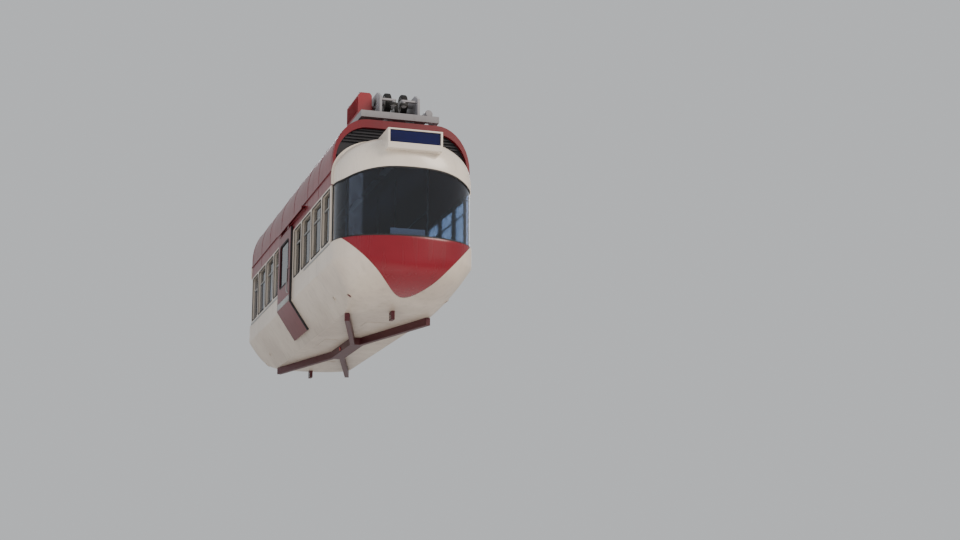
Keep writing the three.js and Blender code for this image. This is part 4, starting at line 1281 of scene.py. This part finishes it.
bushes = []
for side in (-1, 1):
    section = ring_section(EYE + 0.001, EYE + 0.014, side * BUSH_ROOT, side * BUSH_FACE)
    bushes.append(lathe("bush", section, 32, 0, (0.0, LUG_Y, LUG_Z)))
lug_bushes = ease_edges(gathered("tow_lug_front_bushes", bushes), 1 * MM, segments=1)
fit_both(lug_bushes, polished_steel, "bogie_steel")

# Bogies
# A ladder of welded steel plate over the roof, with a tall cheek up each side of the wheels.
# Stub axles and guide arms reach in from the cheeks, and an air tank lies along one side.
BOGIE_CENTRE = 3.300
WHEEL_HIGH = 0.190
WHEEL_SPACING = 0.260
GUIDE_SPACING = 0.560
CHEEK_OUT = 0.372
FRAME_TOP = -0.110
TANK_X, TANK_Z, TANK_RADIUS = 0.540, -0.055, 0.075
# Columns: radius of an axle's cap and how far it stands out of the cheek.
CAP_SECTION = [(0.001, 0.0), (0.050, 0.0), (0.050, 0.008), (0.044, 0.014), (0.001, 0.014)]
PIPE_X, PIPE_Y, CONDUIT_X, CONDUIT_Y = 0.455, 0.685 - BOGIE_CENTRE, -0.560, 0.560 - BOGIE_CENTRE


def ringed(centre, axis, radius, count, start=0.0):
    """Places evenly round a circle, as points with one outward direction, which lies along X, Y or Z."""
    upright = [abs(part) for part in axis].index(1)
    turns = [start + 2 * math.pi * step / count for step in range(count)]
    return [(tuple(Vector(centre) + around(upright, radius, turn)), axis) for turn in turns]


def moved(places, end):
    """Places measured from a bogie's middle, set down at the front or rear end of the car."""
    turned = []
    for at, outward in places:
        point = Vector(at) + Vector((0, -BOGIE_CENTRE, 0))
        if end == "rear":
            point = Vector((-point.x, -point.y, point.z))
            outward = (-outward[0], -outward[1], outward[2])
        turned.append((tuple(point), outward))
    return turned


# The frame's grey darkens in blotches towards its foot: painted shade.
frame_paint = sprayed_paint("light_grey_chassis_paint", "8c8a8d", "a09da0", 0.45, "4a3d34", 0.35, -0.25, 0.55)
bogie_frame = remade("bogie_frame_front", "bogie_front_frame", 4 * MM)
fit_both(bogie_frame, frame_paint, "bogie_steel", "bogie_frame_front", body="bogie_front")

frame_bolts = []
trim_parts = []
for sx in (1, -1):
    cap_section = [(radius, sx * (CHEEK_OUT + proud)) for radius, proud in CAP_SECTION]
    for sy in (1, -1):
        axle = (sx * CHEEK_OUT, sy * WHEEL_SPACING, WHEEL_HIGH)
        trim_parts.append(lathe("cap", cap_section, 32, 0, (0, sy * WHEEL_SPACING - BOGIE_CENTRE, WHEEL_HIGH)))
        frame_bolts += ringed(axle, (sx, 0, 0), 0.066, 6, 0.3)
        frame_bolts += ringed((sx * CHEEK_OUT, sy * GUIDE_SPACING, 0.168), (sx, 0, 0), 0.026, 2)
        for x in (0.66, 0.69) if sx > 0 else ():
            frame_bolts.append(((x, sy * 0.64, FRAME_TOP), UP))
for y in (-0.52, -0.26, 0.0, 0.26, 0.52):
    frame_bolts.append(((0.70, y, FRAME_TOP), UP))
for y in (-0.42, 0.42):
    section = ring_section(TANK_RADIUS - 0.001, TANK_RADIUS + 0.004, y - 0.022, y + 0.022)
    trim_parts.append(lathe("strap", section, 40, 1, (TANK_X, -BOGIE_CENTRE, TANK_Z)))
trim = ease_edges(gathered("bogie_front_trim", trim_parts), 1 * MM, segments=1)
fit_both(trim, fitted_steel, "bogie_steel", body="bogie_front")

pipes = [
    tube("air_pipe", bent([
        (TANK_X, PIPE_Y - 0.025, TANK_Z), (TANK_X, PIPE_Y, TANK_Z),
        (PIPE_X, PIPE_Y, TANK_Z), (PIPE_X, PIPE_Y, FRAME_TOP - 0.004),
    ], radius=0.012), 0.009),
    tube("motor_conduit", bent([
        (CONDUIT_X, CONDUIT_Y - 0.115, 0.10), (CONDUIT_X, CONDUIT_Y, 0.10),
        (CONDUIT_X, CONDUIT_Y, FRAME_TOP - 0.004),
    ], radius=0.05), 0.016),
]
fit_both(gathered("bogie_front_pipes", pipes), rubber, "intake_dark", body="bogie_front")

# Drive units
# The motor and its gears in one cast case with cooling fins, painted red, and flanged to the cheek.
# The case's red darkens in blotches towards its foot: painted shade.
case_paint = sprayed_paint("red_machinery_paint", "86141f", "98242d", 0.38, "2a1d1a", 0.32, -0.15, 0.5)
drive = remade("drive_unit_front", "drive_unit_front_case", 3 * MM)
fit_both(drive, case_paint, "drive_red", "drive_unit_front", body="bogie_front")
frame_bolts += ringed((-CHEEK_OUT - 0.0243, 0, 0.080), (-1, 0, 0), 0.110, 8, 0.2)
for y in (-0.42, 0.42):
    for x in (-0.69, -0.60, -0.50):
        frame_bolts.append(((x, y, 0.300), UP))
for end in ("front", "rear"):
    bolts = copies(f"bogie_{end}_bolts", bolt_head, moved(frame_bolts, end))
    fit(bolts, fitted_steel, "bogie_steel", body="bogie_" + end)

# Wheels
# Load wheels carry the car: each is a moulded rubber tyre with grooves, on a dished and bolted steel rim.
# Small guide wheels of the same make turn on upright pins between them. One of each is made, and copied.
LOAD_TURNS = 56
GUIDE_TURNS = 40
# Columns: radius and distance from the wheel's middle, round one half of each section.
TYRE_HALF = [
    (0.130, 0.030), (0.134, 0.052), (0.150, 0.0555), (0.170, 0.0555), (0.182, 0.049), (0.1885, 0.038),
    (0.190, 0.033), (0.184, 0.031), (0.184, 0.026), (0.190, 0.024), (0.190, 0.013), (0.184, 0.011),
    (0.184, 0.006), (0.190, 0.004),
]
RIM_HALF = [
    (0.0358, 0.0595), (0.066, 0.0595), (0.069, 0.056), (0.072, 0.040), (0.118, 0.031), (0.122, 0.034),
    (0.126, 0.050), (0.132, 0.054), (0.135, 0.053), (0.131, 0.046), (0.1305, 0.030),
]
GUIDE_TYRE_HALF = [
    (0.058, 0.012), (0.060, 0.022), (0.068, 0.0255), (0.075, 0.022), (0.0795, 0.014), (0.080, 0.004),
]
GUIDE_RIM_HALF = [
    (0.0215, 0.0298), (0.042, 0.0298), (0.044, 0.026), (0.046, 0.014), (0.052, 0.013), (0.056, 0.021),
    (0.0585, 0.018), (0.0585, 0.008),
]


def both_halves(half):
    """A section from its half: the points there and, mirrored, back again."""
    return half + [(radius, -along) for radius, along in reversed(half)]


# Tyre rubber is duller than the window sections, with fine cuts and a dusty bloom.
tread_rubber = moulding("black_tyre_rubber", "121213", "3a3836", 9.0, 6.0, 160.0, 0.4, 0.8)
# The rim's grey darkens in blotches towards its lower edge: painted shade.
rim_paint = sprayed_paint("grey_wheel_paint", "a3a19f", "b3b0ad", 0.4, "3a302a", 0.38, 0.0, 0.35)
wheel_bolt = hexagon_head(0.007)


def wheel_patterns(axis, tyre_half, rim_half, turns, bolt_circle, bolt_face, bolt_count):
    """A wheel round the origin as three meshes: tyre, rim and bolts."""
    tyre = smooth(lathe("tyre", both_halves(tyre_half), turns, axis), 50)
    rim = smooth(round_edges(lathe("rim", both_halves(rim_half), turns, axis), 1 * MM, 1, 35))
    places = []
    for side in (1, -1):
        outward = (0, 0, side) if axis else (side, 0, 0)
        centre = tuple(part * bolt_face for part in outward)
        places += ringed(centre, outward, bolt_circle, bolt_count)
    bolts = copies("bolts", wheel_bolt, places)
    return [pattern_of(part) for part in (tyre, rim, bolts)]


load_patterns = wheel_patterns(0, TYRE_HALF, RIM_HALF, LOAD_TURNS, 0.095, 0.0355, 8)
guide_patterns = wheel_patterns(2, GUIDE_TYRE_HALF, GUIDE_RIM_HALF, GUIDE_TURNS, 0.034, 0.0298, 4)
for kind, patterns in (("load", load_patterns), ("guide", guide_patterns)):
    finishes = ((tread_rubber, kind + "_tyre"), (rim_paint, "bogie_steel"), (fitted_steel, "bogie_steel"))
    for end in ("front", "rear"):
        for number in (1, 2, 3, 4):
            node = f"{kind}_wheel_{end}_{number}"
            low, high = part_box(node)
            middle = Matrix.Translation((Vector(low) + Vector(high)) / 2)
            for part, mesh, (finish, slot) in zip(("tyre", "rim", "bolts"), patterns, finishes):
                piece = put_down(f"{kind}_{end}_{number}_{part}", mesh.copy())
                piece.data.transform(middle)
                replaced = (node,) if part == "tyre" else ()
                fit(piece, finish, slot, *replaced, body=f"{kind}_{end}_{number}")
